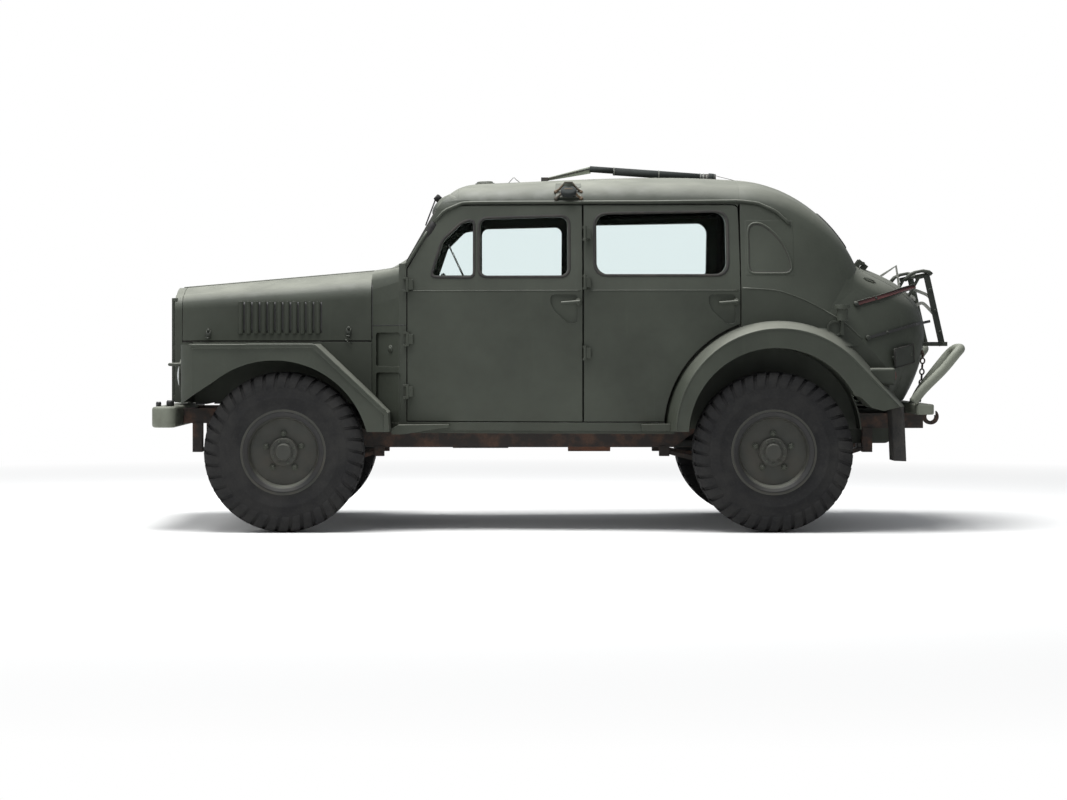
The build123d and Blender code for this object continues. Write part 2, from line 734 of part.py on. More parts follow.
def make_axles():
    tube_end = kingpin_y - 40
    spring_pad = block(front_axle_x - pad_half, front_axle_x + pad_half, -rail_y - 29, -rail_y + 29,
                       pad_bottom, axle_z)
    front = disc_y(front_axle_x, axle_z, axle_tube_radius, -tube_end, tube_end)
    front = front + Pos(front_axle_x, differential_y, axle_z) * Sphere(differential_radius)
    front = front + rod((front_axle_x, differential_y, axle_z), (front_nose_x, differential_y, axle_z), 42)
    for hand in (-1, 1):
        front = front + Pos(front_axle_x, hand * kingpin_y, axle_z) * Sphere(steering_ball_radius)
    front = front + both(spring_pad)
    save(front, "front_axle")

    rear = disc_y(rear_axle_x, axle_z, 50, -752, 752)
    rear = rear + Pos(rear_axle_x, differential_y, axle_z) * Sphere(differential_radius)
    rear = rear + rod((rear_axle_x, differential_y, axle_z), (rear_nose_x, differential_y, axle_z), 42)
    plate = disc_y(rear_axle_x, axle_z, 146, -brake_plate_y - 3, -brake_plate_y + 3)
    spindle = disc_y(rear_axle_x, axle_z, spindle_radius, -wheel_plane_y - 35, -740)
    rear_pad = Pos(rear_axle_x - front_axle_x, 0, 0) * spring_pad
    rear = rear + both(plate) + both(spindle) + both(rear_pad)
    save(rear, "rear_axle")

    centre = Pos(front_axle_x, -kingpin_y, axle_z)
    ring = Circle(cup_radius) - Circle(steering_ball_radius + fit)
    keep = Pos(cup_radius / 2, (cup_lip - cup_radius) / 2) * Rectangle(cup_radius, cup_radius + cup_lip)
    ring = ring & keep
    cup = centre * revolve(ring, axis=Axis.Y)
    plate = disc_y(front_axle_x, axle_z, 146, -brake_plate_y - 3, -brake_plate_y + 3)
    plate = plate - centre * Sphere(cup_radius - 8)
    spindle = disc_y(front_axle_x, axle_z, spindle_radius, -wheel_plane_y - 35, -744)
    arm_x = front_axle_x + steering_arm
    arm = block(front_axle_x + 79, arm_x, -kingpin_y - 15, -kingpin_y + 15, arm_top - 18, arm_top)
    eye = rod((arm_x, -kingpin_y, arm_top - 18), (arm_x, -kingpin_y, arm_top), 15)
    hole = rod((arm_x, -kingpin_y, arm_top - 30), (arm_x, -kingpin_y, arm_top + 5), 8 + fit)
    knuckle = cup + plate + spindle + arm + eye - hole
    for reach in (-1, 1):
        root = axle_z + reach * (cup_radius + steering_ball_radius) / 2
        cap = axle_z + reach * (cup_radius + kingpin_lift)
        foot = (front_axle_x, -kingpin_y, root)
        knuckle = knuckle + rod(foot, (front_axle_x, -kingpin_y, cap), kingpin_radius)
    save(knuckle, "knuckle_left")
    save(mirrored(knuckle), "knuckle_right")

    bar = disc_y(arm_x, arm_top + 15, 11, -kingpin_y, kingpin_y)
    ball = rod((arm_x, -kingpin_y, arm_top + fit), (arm_x, -kingpin_y, arm_top + 28), 14)
    pin = rod((arm_x, -kingpin_y, arm_top - 24), (arm_x, -kingpin_y, arm_top + 10), 8)
    save(bar + both(ball + pin), "tie_rod")


# Chassis
rail_line = [
    (-2237.7, 585), (-1310, 585), (-1070, 452), (652, 452), (872, 602), (1480, 602), (1700, 557),
    (2060, 557),
]
# lengthways place, bottom and top of each cross member
cross_members = [
    (-2150, 600, 655), (-900, 500, 531), (-160, 500, 531), (590, 500, 531), (1450, 612, 677),
    (2026, 570, 636),
]
# front eye x, z, rear eye x, z, axle x
spring_places = [(-2035, 448, -1010, 425, front_axle_x), (600, 425, 1745, 448, rear_axle_x)]


def make_chassis():
    top_line = [(x, z + rail_height) for x, z in reversed(rail_line)]
    side = outline(rail_line + top_line)
    web = 6
    rail = across(side, -rail_y - rail_width / 2, -rail_y + rail_width / 2)
    rail = rail - across(offset(side, -web, kind=Kind.INTERSECTION),
                         -rail_y - rail_width / 2 + web, -rail_y + rail_width / 2 + 1)
    frame = both(rail)
    inside = rail_y + rail_width / 2 - web
    for x, low, high in cross_members:
        frame = frame + block(x - 26, x + 26, -inside, inside, low, high)
    half = spring_width / 2 + fit
    for front_x, front_z, rear_x, rear_z, _ in spring_places:
        for x, z in ((front_x, front_z), (rear_x, rear_z)):
            base = rail_bottom_at(x) + 4
            cheek = block(x - 28, x + 28, half, half + 8, z - 26, base)
            cheeks = Pos(0, -rail_y, 0) * (cheek + mirrored(cheek))
            pin = disc_y(x, z, 9, -rail_y - half - 8, -rail_y + half + 8)
            frame = frame + both(cheeks + pin)
    save(frame, "chassis_frame")

    springs = []
    for front_x, front_z, rear_x, rear_z, axle in spring_places:
        top_mid = pad_bottom - fit
        pack = make_face([
            ThreePointArc((front_x, front_z + 8), (axle, top_mid), (rear_x, rear_z + 8)),
            Line((rear_x, rear_z + 8), (rear_x, rear_z - 8)),
            ThreePointArc((rear_x, rear_z - 8), (axle, top_mid - spring_leaf), (front_x, front_z - 8)),
            Line((front_x, front_z - 8), (front_x, front_z + 8)),
        ])
        spring = across(pack, -rail_y - spring_width / 2, -rail_y + spring_width / 2)
        spring = spring - block(axle - pad_half - fit, axle + pad_half + fit, -rail_y - 60, -rail_y + 60,
                                pad_bottom - fit, pad_bottom + 20)
        for x, z in ((front_x, front_z), (rear_x, rear_z)):
            spring = spring + disc_y(x, z, 20, -rail_y - spring_width / 2, -rail_y + spring_width / 2)
            spring = spring - disc_y(x, z, 9 + fit, -rail_y - 60, -rail_y + 60)
        springs += [spring, mirrored(spring)]
    save(Compound([piece for spring in springs for piece in spring.solids()]), "leaf_springs")


def rail_bottom_at(x):
    """Height of the frame rail's lower edge at a place along the car."""
    for (x1, z1), (x2, z2) in zip(rail_line, rail_line[1:]):
        if x1 <= x <= x2:
            return z1 + (z2 - z1) * (x - x1) / (x2 - x1)
    return rail_line[-1][1]


def make_machinery():
    save(block(-1960, -1130, -210, 210, 690, 1120), "engine")
    gearbox = block(-1129.7, -700, -110, 110, 560, 760)
    transfer = block(-600, -280, -60, 230, 432, 536)
    link = rod((-701, 0, 640), (-599, 60, 520), 34)
    front_shaft = disc_x(-599, front_nose_x + fit, differential_y, shaft_z, 25)
    rear_shaft = disc_x(-281, rear_nose_x - fit, differential_y, shaft_z, 25)
    save(gearbox + transfer + link + front_shaft + rear_shaft, "driveline")
    tank = block(tank_front_x, tank_rear_x, -330, 330, 470, 668)
    tank = fillet(tank.edges().filter_by(Axis.Y), 40)
    save(tank, "fuel_tank")
    silencer = rod((60, -230, 466), (300, -230, 466), 46)
    pipe = rod((-1120, -230, 474), (61, -230, 474), 20) + rod((299, -230, 474), (540, -230, 474), 20)
    save(silencer + pipe, "exhaust")


def make_front():
    plan = make_face(Polyline((-2250, -780), (-2115, -780), (-2115, 780), (-2250, 780), close=True))
    plan = fillet(plan.vertices().sort_by(Axis.X)[:2], 60)
    bumper = upward(plan, 570, 685)
    bumper = bumper - upward(offset(plan, -12), 582, 673) - block(-2200, -2100, -768, 768, 582, 673)
    for hand in (-1, 1):
        bumper = bumper + rod((-2165, hand * 600, 680), (-2165, hand * 600, 716), 22)
        bumper = bumper + rod((-2222, hand * 600, 680), (-2222, hand * 600, 708), 10)
    save(bumper, "front_bumper")

    top = nose_top - 4
    face = make_face([
        Line((-305, 700), (305, 700)),
        Line((305, 700), (305, top - 130)),
        ThreePointArc((305, top - 130), (279, top - 72), (215, top - 45)),
        ThreePointArc((215, top - 45), (0, top), (-215, top - 45)),
        ThreePointArc((-215, top - 45), (-279, top - 72), (-305, top - 130)),
        Line((-305, top - 130), (-305, 700)),
    ])
    shell = lengthwise(face, nose_x, hood_front_x - 3)
    shell = shell - lengthwise(offset(face, -34), nose_x - 5, hood_front_x)
    cheek = block(nose_x, fender_front_x - fit, 293, 305, 700, 1040)
    shell = shell + both(cheek)
    for index in range(grille_bars):
        y = (index - (grille_bars - 1) / 2) * grille_pitch
        shell = shell + block(-2197, -2183, y - 6, y + 6, 702, 1293)
    for z in (720, 1000, 1275):
        shell = shell + block(-2184, nose_x + 14, -290, 290, z, z + 18)
    rod_front = nose_x + 20
    rod_rear = cowl_front_x - 1.2
    hinge_rod = rod((rod_front, 0, hood_ridge(rod_front)), (rod_rear, 0, hood_ridge(rod_rear)),
                    hood_pin_radius)
    save(shell + hinge_rod, "radiator_shell")
    save(block(-2060, -1995, -270, 270, 690, 1260), "radiator")

    lamps = None
    for hand in (-1, 1):
        y = hand * lamp_y
        lamp = rod((-2092, y, lamp_z), (fender_front_x - fit, y, lamp_z), 92)
        dome = Pos(-1960, y, lamp_z) * Sphere(161)
        dome = dome & rod((-2125, y, lamp_z), (-2091, y, lamp_z), 90)
        guard = tube_path([(fender_front_x - fit, y - 108, 918), (-2158, y - 108, 918),
                           (-2158, y + 108, 918), (fender_front_x - fit, y + 108, 918)], 40, 9)
        pair = [lamp + dome, guard]
        lamps = pair if lamps is None else lamps + pair
    save(Compound([piece for item in lamps for piece in item.solids()]), "headlamps")


def make_fenders():
    plan_points = [(fender_front_x, -310), (fender_front_x, -fender_y), (-930, -fender_y), (-930, -597),
                   (-1049, -454)]
    plan = outline(plan_points)
    corner = [v for v in plan.vertices() if abs(v.X - fender_front_x) < 1 and v.Y < -900]
    plan = fillet(corner, 110)
    side = outline([(fender_front_x, 552), (fender_front_x, fender_top), (-1340, fender_top + 4),
                    (-939, 656), (-932, 552)])
    inner_x = fender_front_x + wing_sheet
    inner_z = fender_top - wing_sheet
    inside = outline([(inner_x, 400), (inner_x, inner_z), (-1345, inner_z + 4), (-949, 652), (-942, 400)])
    outer = upward(plan, 500, 1100) & across(side, -1000, -200)
    inner_plan = offset(plan, -wing_sheet, kind=Kind.INTERSECTION)
    inner = upward(inner_plan, 300, 1100) & across(inside, -1000, -200)
    apron = outline([(fender_front_x, 400), (fender_front_x, fender_top), (-1340, fender_top + 4),
                     (-939, 656), (-932, 400)])
    apron = across(offset(apron, -wing_lip, kind=Kind.INTERSECTION), -1000, -fender_y + apron_depth)
    fender = outer - inner - apron
    arch = Pos(front_arch_x, front_arch_z) * Circle(front_arch_radius)
    arch = arch + outline([(-2100, 500), (-2100, 700), (-2069, 707), (-1872, 838), (-1700, 500)])
    fender = fender - across(arch, -1000, -520) - block(-2100, -1040, -560, -200, 400, 700)
    fender = max(fender.solids(), key=lambda piece: piece.volume)
    side_wall = make_face(Polyline(
        (fender_front_x + 5, -312), (-1050, -455), (-1050, -445), (fender_front_x + 5, -302), close=True))
    fender = fender + upward(side_wall, 700, hood_bottom - 8)
    return fender


def hood_half(inset, bottom):
    """Left half of the hood as a full solid; an inset draws it in by the sheet."""
    faces = []
    for x, width, top, drop, bend in hood_sections:
        edge = width - inset
        reach = bend - inset
        shoulder = (-(width - bend), top - drop - inset)
        corner = (-edge, top - drop - bend)
        lift = reach * 0.2929
        middle = (-(edge - lift), top - drop - bend + reach * 0.7071)
        start = (-(hood_pin_radius + fit), top - inset)
        across_top = (shoulder[0] / 2, top - inset - drop * 0.27)
        face = make_face([
            ThreePointArc(start, across_top, shoulder),
            ThreePointArc(shoulder, middle, corner),
            Line(corner, (-edge, bottom)),
            Line((-edge, bottom), (start[0], bottom)),
            Line((start[0], bottom), start),
        ])
        plane = Plane(origin=(x, 0, 0), x_dir=(0, 1, 0), z_dir=(1, 0, 0))
        faces.append(plane * face)
    return loft(faces, ruled=True)


def make_hood():
    half = hood_half(0, hood_bottom) - hood_half(sheet, hood_bottom - 40)
    for index in range(louvre_count):
        x = louvre_start + index * louvre_pitch
        width = hood_width_at(x)
        blade = rod((x, -width, 1090), (x, -width, 1272), 13)
        half = half + blade
    save(half, "hood_left")
    save(mirrored(half), "hood_right")


def hood_ridge(x):
    """Height of the hood's centre line at a place along the car."""
    (x1, _, z1, *_), (x2, _, z2, *_) = hood_sections
    return z1 + (z2 - z1) * (x - x1) / (x2 - x1)


def hood_width_at(x):
    """Half width of the hood's side at a place along the car."""
    (x1, w1, *_), (x2, w2, *_) = hood_sections[0], hood_sections[-1]
    return w1 + (w2 - w1) * (x - x1) / (x2 - x1)


# Inside
def make_floor():
    half_plan = [(-1049, 440), (-890, 630), (-400, 708), (250, 776), (632, 782)]
    plan = outline([(x, -y) for x, y in half_plan] + [(x, y) for x, y in reversed(half_plan)])
    floor = upward(plan, floor_bottom, floor_top - fit)
    hump = block(-1036.7, -540, -tunnel_y - 10, tunnel_y + 10, floor_bottom, tunnel_top + 10)
    hump_inside = block(-1100, -550, -tunnel_y, tunnel_y, 500, tunnel_top)
    step = block(632, 644, -wheelhouse_y + 8, wheelhouse_y - 8, floor_bottom, boot_floor)
    half = wheelhouse_y - house_wall
    boot_plan = outline([(632, -half), (1740, -half), (1925, -480), (1925, 480), (1740, half), (632, half)])
    boot = upward(boot_plan, boot_floor - 12, boot_floor)
    save(floor + hump - hump_inside + step + boot, "floor_pan")


def make_seats():
    cushions = []
    frames = []
    for hand in (-1, 1):
        y1, y2 = sorted((hand * 105, hand * 565))
        base = block(-270, 210, y1, y2, 800.3, 930)
        back = across(outline([(150, 930.6), (262, 930.6), (352, 1360), (262, 1380)], 30), y1, y2)
        cushions += [fillet(base.edges(), 28), back]
        frames.append(block(-240, 250, y1 + 20, y2 - 20, floor_top, 800))
    save(Compound([s for item in cushions for s in item.solids()]), "front_seats")
    rear_base = block(480, 960, -580, 580, 760.3, 900)
    rear_back = across(outline([(905, 900.6), (1035, 900.6), (1130, 1340), (1030, 1360)], 30), -580, 580)
    save(Compound(fillet(rear_base.edges(), 30).solids() + rear_back.solids()), "rear_seat")
    frames.append(block(500, 631.5, -560, 560, floor_top, 760))
    frames.append(block(644.5, 980, -560, 560, boot_floor + fit, 760))
    save(Compound([s for item in frames for s in item.solids()]), "seat_frames")


def make_dash():
    post_x = front_door_x - door_gap - 1
    board = long_loft(cabin_sections, wall + fit, 700) & block(dash_front_x, post_x, -700, 700, 1230, 1420)
    behind = long_loft(cabin_sections, wall + dash_clear, 700)
    board = board + (behind & block(post_x, dash_rear_x, -700, 700, 1230, 1420))
    board = board - rod(column_foot, column_head, column_radius + fit)
    save(board, "dashboard")

    column = rod(column_foot, column_head, column_radius)
    box = Pos(column_foot[0] - 40, column_foot[1], column_foot[2] - 20) * Box(110, 90, 150)
    bracket = block(-1330, -1230, -345, -300, 670.3, 800)
    save(column + box + bracket, "steering_column")

    run = (Vector(*column_head) - Vector(*column_foot)).normalized()
    plane = Plane(origin=Vector(*column_head) + run * fit, z_dir=run)
    hub = extrude(plane * Circle(34), amount=34)
    rim = plane * Pos(0, 0, 20) * Torus(steering_wheel_radius, 13)
    wheel = hub + rim
    for angle in (0, 120, 240):
        spoke = Rot(0, 0, angle) * Pos(steering_wheel_radius / 2, 0, 20) * Box(steering_wheel_radius, 22, 9)
        wheel = wheel + plane * spoke
    save(wheel, "steering_wheel")


# Rear fittings
def make_rear():
    rail_top = rail_line[-1][1] + rail_height
    hoops = block(1960, 2059.7, -810, 810, rail_top + fit, 700)
    for hand in (-1, 1):
        outer = hand * 790
        inner = hand * 500
        hoop = tube_path([(1985, outer, 690), (2120, outer, 760), (2228, outer, 985), (2228, inner, 985),
                          (2100, inner, 830), (2010, inner, 690)], 70, 27)
        hoops = hoops + hoop
    save(hoops, "rear_bumpers")

    plate = block(2060.3, 2078, -70, 70, 560, 690)
    shank = block(2078, 2135, -26, 26, 612, 656)
    ring = Pos(2163, 612) * (Circle(46) - Circle(25))
    mouth = Pos(2180, 650) * Rectangle(30, 60)
    hook = across(ring - mouth, -20, 20)
    save(plate + shank + hook, "tow_hook")

    seat = flare_body(fit) + tail_boot(-fit)
    pod = block(1700, 1845, -835, -735, 806, 900)
    pod = fillet(pod.edges(), 18) - seat
    pod = max(pod.solids(), key=lambda piece: piece.volume)
    save(both(pod), "tail_lamps")

    plan = outline([(1815, -700), (1815, -882), (1868, -935), (1875, -928), (1825, -878), (1825, -700)])
    flap = loft([Pos(13, 0, 392) * plan, Pos(0, 0, 690) * plan]) - Pos(0, 0, -fit) * seat
    flap = min(flap.solids(), key=lambda piece: piece.bounding_box().min.Z)
    save(both(flap), "mud_flaps")


# Outside fittings
def side_skin(full, x, z):
    """Half width of a full body at one place on its left side."""
    return -(disc_y(x, z, 1, -1000, 0) & full).bounding_box().min.Y


def make_aerials():
    """The folded roof aerial, and the two bases that other aerials stand in."""
    roof = long_loft(cabin_sections, -fit, sill_bottom)
    pivot_x, pivot_z = aerial_pivot
    elbow_x, elbow_z = aerial_elbow
    foot = block(pivot_x - 22, pivot_x + 18, -22, 22, pivot_z - 60, pivot_z + 10)
    bar = across(outline([(pivot_x - 12, pivot_z), (pivot_x, pivot_z - 8), (elbow_x + 4, elbow_z - 4),
                          (elbow_x + 4, elbow_z + 4), (pivot_x, pivot_z + 2)]), -15, 15)
    tip_x, tip_z = aerial_tip
    roll = rod((elbow_x - 6, 0, elbow_z - 6), (tip_x, 0, tip_z), aerial_roll_radius)
    clamp = disc_x(aerial_clamp_x - 45, aerial_clamp_x + 45, 0, tip_z, aerial_roll_radius + 8)
    clamp = clamp + block(aerial_clamp_x - 45, aerial_clamp_x + 45, -48, 48, tip_z - 60, tip_z - 8)
    save(foot + bar + roll + clamp - roof, "roof_aerial")

    x, y, top = roof_cup
    slope = Plane(origin=(x, y + 10, top - 42), x_dir=(1, 0, 0), z_dir=(0, -1, 1))
    base = extrude(slope * Rectangle(140, 116), amount=8) + extrude(slope * Rectangle(140, 116), amount=-30)
    cup = rod((x, y, top - 70), (x, y, top), roof_cup_radius)
    bore = rod((x, y, top - roof_cup_depth), (x, y, top + 1), roof_cup_bore)
    save(base + cup - bore - roof, "aerial_base")

    tail = tail_boot(-fit) + tail_back(-fit)
    bottom = side_cup_top - 87
    skin = side_skin(tail, side_cup_x, bottom)
    y = -skin - side_cup_radius - 4
    cup = rod((side_cup_x, y, bottom), (side_cup_x, y, side_cup_top), side_cup_radius)
    cap = rod((side_cup_x, y, side_cup_top - 22), (side_cup_x, y, side_cup_top), side_cup_cap)
    web = block(side_cup_x - 8, side_cup_x + 8, y, y + 110, bottom - 78, bottom + 40)
    ring_x, ring_z, ring_radius = side_ring
    ring_skin = side_skin(tail, ring_x, ring_z)
    ring = disc_y(ring_x, ring_z, ring_radius, -ring_skin - 12, -ring_skin + 60)
    dish = disc_y(ring_x, ring_z, ring_radius - 10, -ring_skin - 13, -ring_skin - 5)
    bore_floor = side_cup_top - side_cup_depth
    bore = rod((side_cup_x, y, bore_floor), (side_cup_x, y, side_cup_top + 1), side_cup_bore)
    socket = cup + cap + web + (ring - dish) - bore - tail - flare_body(fit)
    save(max(socket.solids(), key=lambda piece: piece.volume), "aerial_socket")


def make_steps():
    """The short wedge steps under the ends of the sills."""
    full = long_loft(cabin_sections, -fit, 400) + long_loft(cowl_sections, -fit, 400) + flare_body(fit)
    front = outline([(-926, 533), (-926, 562), (-890, 584), (-610, 588), (-610, 572), (-730, 556),
                     (-860, 533)])
    rear = outline([(450, 556), (450, 590), (644, 594), (658, 584), (658, 556)])
    steps = []
    for side, reach in ((front, 700 + step_reach), (rear, 794 + step_reach)):
        step = across(side, -reach, -600) - full
        steps.append(max(step.solids(), key=lambda piece: piece.volume))
    pads = [both(step) for step in steps]
    save(pads[0] + pads[1], "steps")


def make_rack():
    surface = tail_boot(-fit)
    bar = block(2040, 2194, -318, -282, 1020, 1037) + block(2040, 2194, 282, 318, 1020, 1037)
    cross = block(2170, 2194, -420, 420, 1020, 1044)
    rack = bar + cross
    for hand in (-1, 1):
        y = hand * 300
        rack = rack + rod((2182, y, 1040), (2092, y, 1425), 13)
        rack = rack + rod((2100, y, 1425), (2030, y, 1408), 13)
        rack = rack + rod((2052, y, 1412), (1990, y, 1300), 9)
    rack = rack + rod((2092, -300, 1425), (2092, 300, 1425), 11)
    rack = rack - surface
    return rack


if __name__ == "__main__":
    os.makedirs("parts", exist_ok=True)
    make_wheels()
    make_axles()
    make_chassis()
    make_machinery()
    make_front()
    make_hood()
    make_floor()
    make_seats()
    make_dash()
    make_rear()
    make_aerials()
    make_steps()
    save(both(make_fenders()), "front_fenders")
    cowl, roof, sills, lugs_middle, panes = make_cabin()
    pillar = make_pillars(lugs_middle)
    left, lid, pane, arch = make_tail()
    flare, house = make_quarter(arch)
    save(cowl, "cowl_panel")
    save(roof, "roof_panel")
    save(lid, "boot_lid")
    save(make_rack(), "rear_rack")
    save(Compound(panes + pane.solids()), "fixed_glass")
    save(sills, "sills")
    save(both(pillar), "door_pillars")
    quarter = left + flare + house
    save(quarter, "quarter_left")
    save(mirrored(quarter), "quarter_right")
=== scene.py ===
import json
from math import acos, atan2, copysign, cos, exp, hypot, pi, radians, sin, sqrt

import bmesh
import bpy
import numpy
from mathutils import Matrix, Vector
from mathutils.bvhtree import BVHTree


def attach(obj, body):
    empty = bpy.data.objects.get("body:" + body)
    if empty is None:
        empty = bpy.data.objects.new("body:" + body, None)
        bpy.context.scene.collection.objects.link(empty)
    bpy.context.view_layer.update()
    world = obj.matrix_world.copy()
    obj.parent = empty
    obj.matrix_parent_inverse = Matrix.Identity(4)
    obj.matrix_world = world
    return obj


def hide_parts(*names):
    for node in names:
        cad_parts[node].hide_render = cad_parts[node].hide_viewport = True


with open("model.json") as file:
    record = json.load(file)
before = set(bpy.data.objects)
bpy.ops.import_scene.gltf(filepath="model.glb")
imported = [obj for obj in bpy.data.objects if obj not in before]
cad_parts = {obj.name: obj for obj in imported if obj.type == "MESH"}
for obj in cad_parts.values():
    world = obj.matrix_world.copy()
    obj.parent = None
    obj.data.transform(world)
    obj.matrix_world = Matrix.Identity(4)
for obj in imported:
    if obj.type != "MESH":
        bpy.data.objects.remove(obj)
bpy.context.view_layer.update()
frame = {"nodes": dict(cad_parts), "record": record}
scene = bpy.context.scene

# Looks for the army 4x4 car. Metres, front toward -X, left side toward -Y.

# Camera, read from the photograph
photo_width = 1067
photo_height = 800
photo_focal = 2764
vanishing_column = 500
horizon_row = 345
camera_place = (-0.328, -16.0, 1.026)
sensor_width = 36

# Running gear
front_axle_x = -1.512
rear_axle_x = 1.168
axle_z = 0.44
wheel_y = 0.8
tyre_radius = 0.44
tread_depth = 0.02
lug_count = 38
nut_circle = 0.1025
nut_count = 5
nut_seat = 0.06
hub_circle = 0.062
hub_seat = 0.086
spring_y = 0.372

# Body
flare_x, flare_z, flare_y = 1.2, 0.548, -0.9435
flare_radius = 0.566
flare_tip = (1.847, 0.688)
wing_edge_y = -0.9425
louvre_count = 11
louvre_start = -1.7765
louvre_pitch = 0.044
belt_z = 1.326
handle_z = 1.262
rack_foot_x, rack_foot_z = 2.182, 1.04
rack_lean = (2.092 - 2.182) / 0.385
corner_signs = ((-1, -1), (1, -1), (1, 1), (-1, 1))


# Camera and light
def placed(name, data, place=(0, 0, 0)):
    thing = bpy.data.objects.new(name, data)
    thing.location = place
    scene.collection.objects.link(thing)
    return thing


def place_camera():
    data = bpy.data.cameras.new("camera")
    data.sensor_width = sensor_width
    data.lens = photo_focal / photo_width * sensor_width
    data.shift_x = (photo_width / 2 - vanishing_column) / photo_width
    data.shift_y = (horizon_row - photo_height / 2) / photo_width
    scene.camera = placed("camera", data, camera_place)
    scene.camera.rotation_euler = (radians(90), 0, 0)


def fill(tree, node, inputs):
    """Give a node's inputs, by name or number, another node's output, a value or a colour."""
    for key, value in inputs.items():
        socket = node.inputs[key]
        if isinstance(value, bpy.types.NodeSocket):
            tree.links.new(value, socket)
        else:
            socket.default_value = (*value, 1) if socket.type == "RGBA" else value


def new_node(tree, kind, inputs, **settings):
    """The outputs of a new node."""
    made = tree.nodes.new(kind)
    for key, value in settings.items():
        setattr(made, key, value)
    fill(tree, made, inputs)
    return made.outputs


def light_scene():
    """A soft sky that looks white to the camera and through glass, and three large lights."""
    world = bpy.data.worlds.new("studio")
    scene.world = world
    world.use_nodes = True
    tree = world.node_tree
    tree.nodes.clear()
    path = new_node(tree, "ShaderNodeLightPath", {})
    seen = new_node(tree, "ShaderNodeMath", {0: path["Is Camera Ray"], 1: path["Is Transmission Ray"]},
                    operation="MAXIMUM")
    soft = new_node(tree, "ShaderNodeBackground", {"Color": (0.92, 0.95, 1.0), "Strength": 0.44})
    white = new_node(tree, "ShaderNodeBackground", {"Color": (1, 1, 1)})
    mix = new_node(tree, "ShaderNodeMixShader", {0: seen[0], 1: soft[0], 2: white[0]})
    new_node(tree, "ShaderNodeOutputWorld", {"Surface": mix[0]})
    for name, place, target, size, power in (
            ("sky", (-1.0, -1.0, 7.5), (0, 0, 0.8), 6.0, 1100),
            ("fill", (-6.0, -9.0, 3.5), (0, 0, 0.8), 5.0, 85),
            ("front_sky", (-7.0, -1.0, 6.5), (-0.5, 0, 1.2), 5.0, 240)):
        data = bpy.data.lights.new(name, "AREA")
        data.shape = "DISK"
        data.size = size
        data.energy = power
        way = Vector(target) - Vector(place)
        placed(name, data, place).rotation_euler = way.to_track_quat("-Z", "Y").to_euler()
    scene.view_settings.view_transform = "Standard"


# Finishes
def times(colour, factor):
    return tuple(value * factor for value in colour)


class Recipe:
    """Builds one material's nodes, step by step, in the object's own space."""

    def __init__(self, name, roughness, colour, **inputs):
        self.colour = colour
        self.material = bpy.data.materials.new(name)
        self.material.use_nodes = True
        self.tree = self.material.node_tree
        self.shader = self.tree.nodes["Principled BSDF"]
        fill(self.tree, self.shader, {"Roughness": roughness, **inputs})
        self.place = self.node("ShaderNodeTexCoord")["Object"]
        self.normal = None

    def node(self, kind, inputs=None, **settings):
        return new_node(self.tree, kind, inputs or {}, **settings)

    def ramp(self, source, low, high, low_value=0.0, high_value=1.0):
        return self.node("ShaderNodeMapRange", {"Value": source, "From Min": low, "From Max": high,
                                                "To Min": low_value, "To Max": high_value})["Result"]

    def noise(self, scale, detail, stretch=(1, 1, 1), roughness=0.55):
        place = self.node("ShaderNodeMapping", {"Vector": self.place, "Scale": stretch})[0]
        return self.node("ShaderNodeTexNoise", {"Vector": place, "Scale": scale, "Detail": detail,
                                                "Roughness": roughness})["Fac"]

    def patches(self, scale, detail, low, high, low_value=0.0, high_value=1.0, **noise):
        """Noise spread between two levels."""
        return self.ramp(self.noise(scale, detail, **noise), low, high, low_value, high_value)

    def product(self, first, second):
        return self.node("ShaderNodeMath", {0: first, 1: second}, operation="MULTIPLY")[0]

    def lay(self, factor, colour):
        """Lay a colour over the one so far, by a factor."""
        self.colour = self.node("ShaderNodeMix", {0: factor, 6: self.colour, 7: colour}, data_type="RGBA")[2]

    def upright(self, source):
        """The Z part of a place or a normal."""
        return self.node("ShaderNodeSeparateXYZ", {0: source})["Z"]

    def edges(self, width):
        """Rounds hard edges by that width, and returns how near an edge a point is."""
        self.normal = self.node("ShaderNodeBevel", {"Radius": width}, samples=4)[0]
        flat = self.node("ShaderNodeNewGeometry")["Normal"]
        dot = self.node("ShaderNodeVectorMath", {0: self.normal, 1: flat}, operation="DOT_PRODUCT")
        return self.ramp(dot["Value"], 0.995, 0.9)

    def bump(self, source, strength, distance):
        before = {"Normal": self.normal} if self.normal is not None else {}
        self.normal = self.node("ShaderNodeBump", {"Height": source, "Strength": strength, "Distance": distance,
                                                   **before})[0]

    def finish(self, **inputs):
        if self.normal is not None:
            inputs["Normal"] = self.normal
        fill(self.tree, self.shader, {"Base Color": self.colour, **inputs})
        return self.material


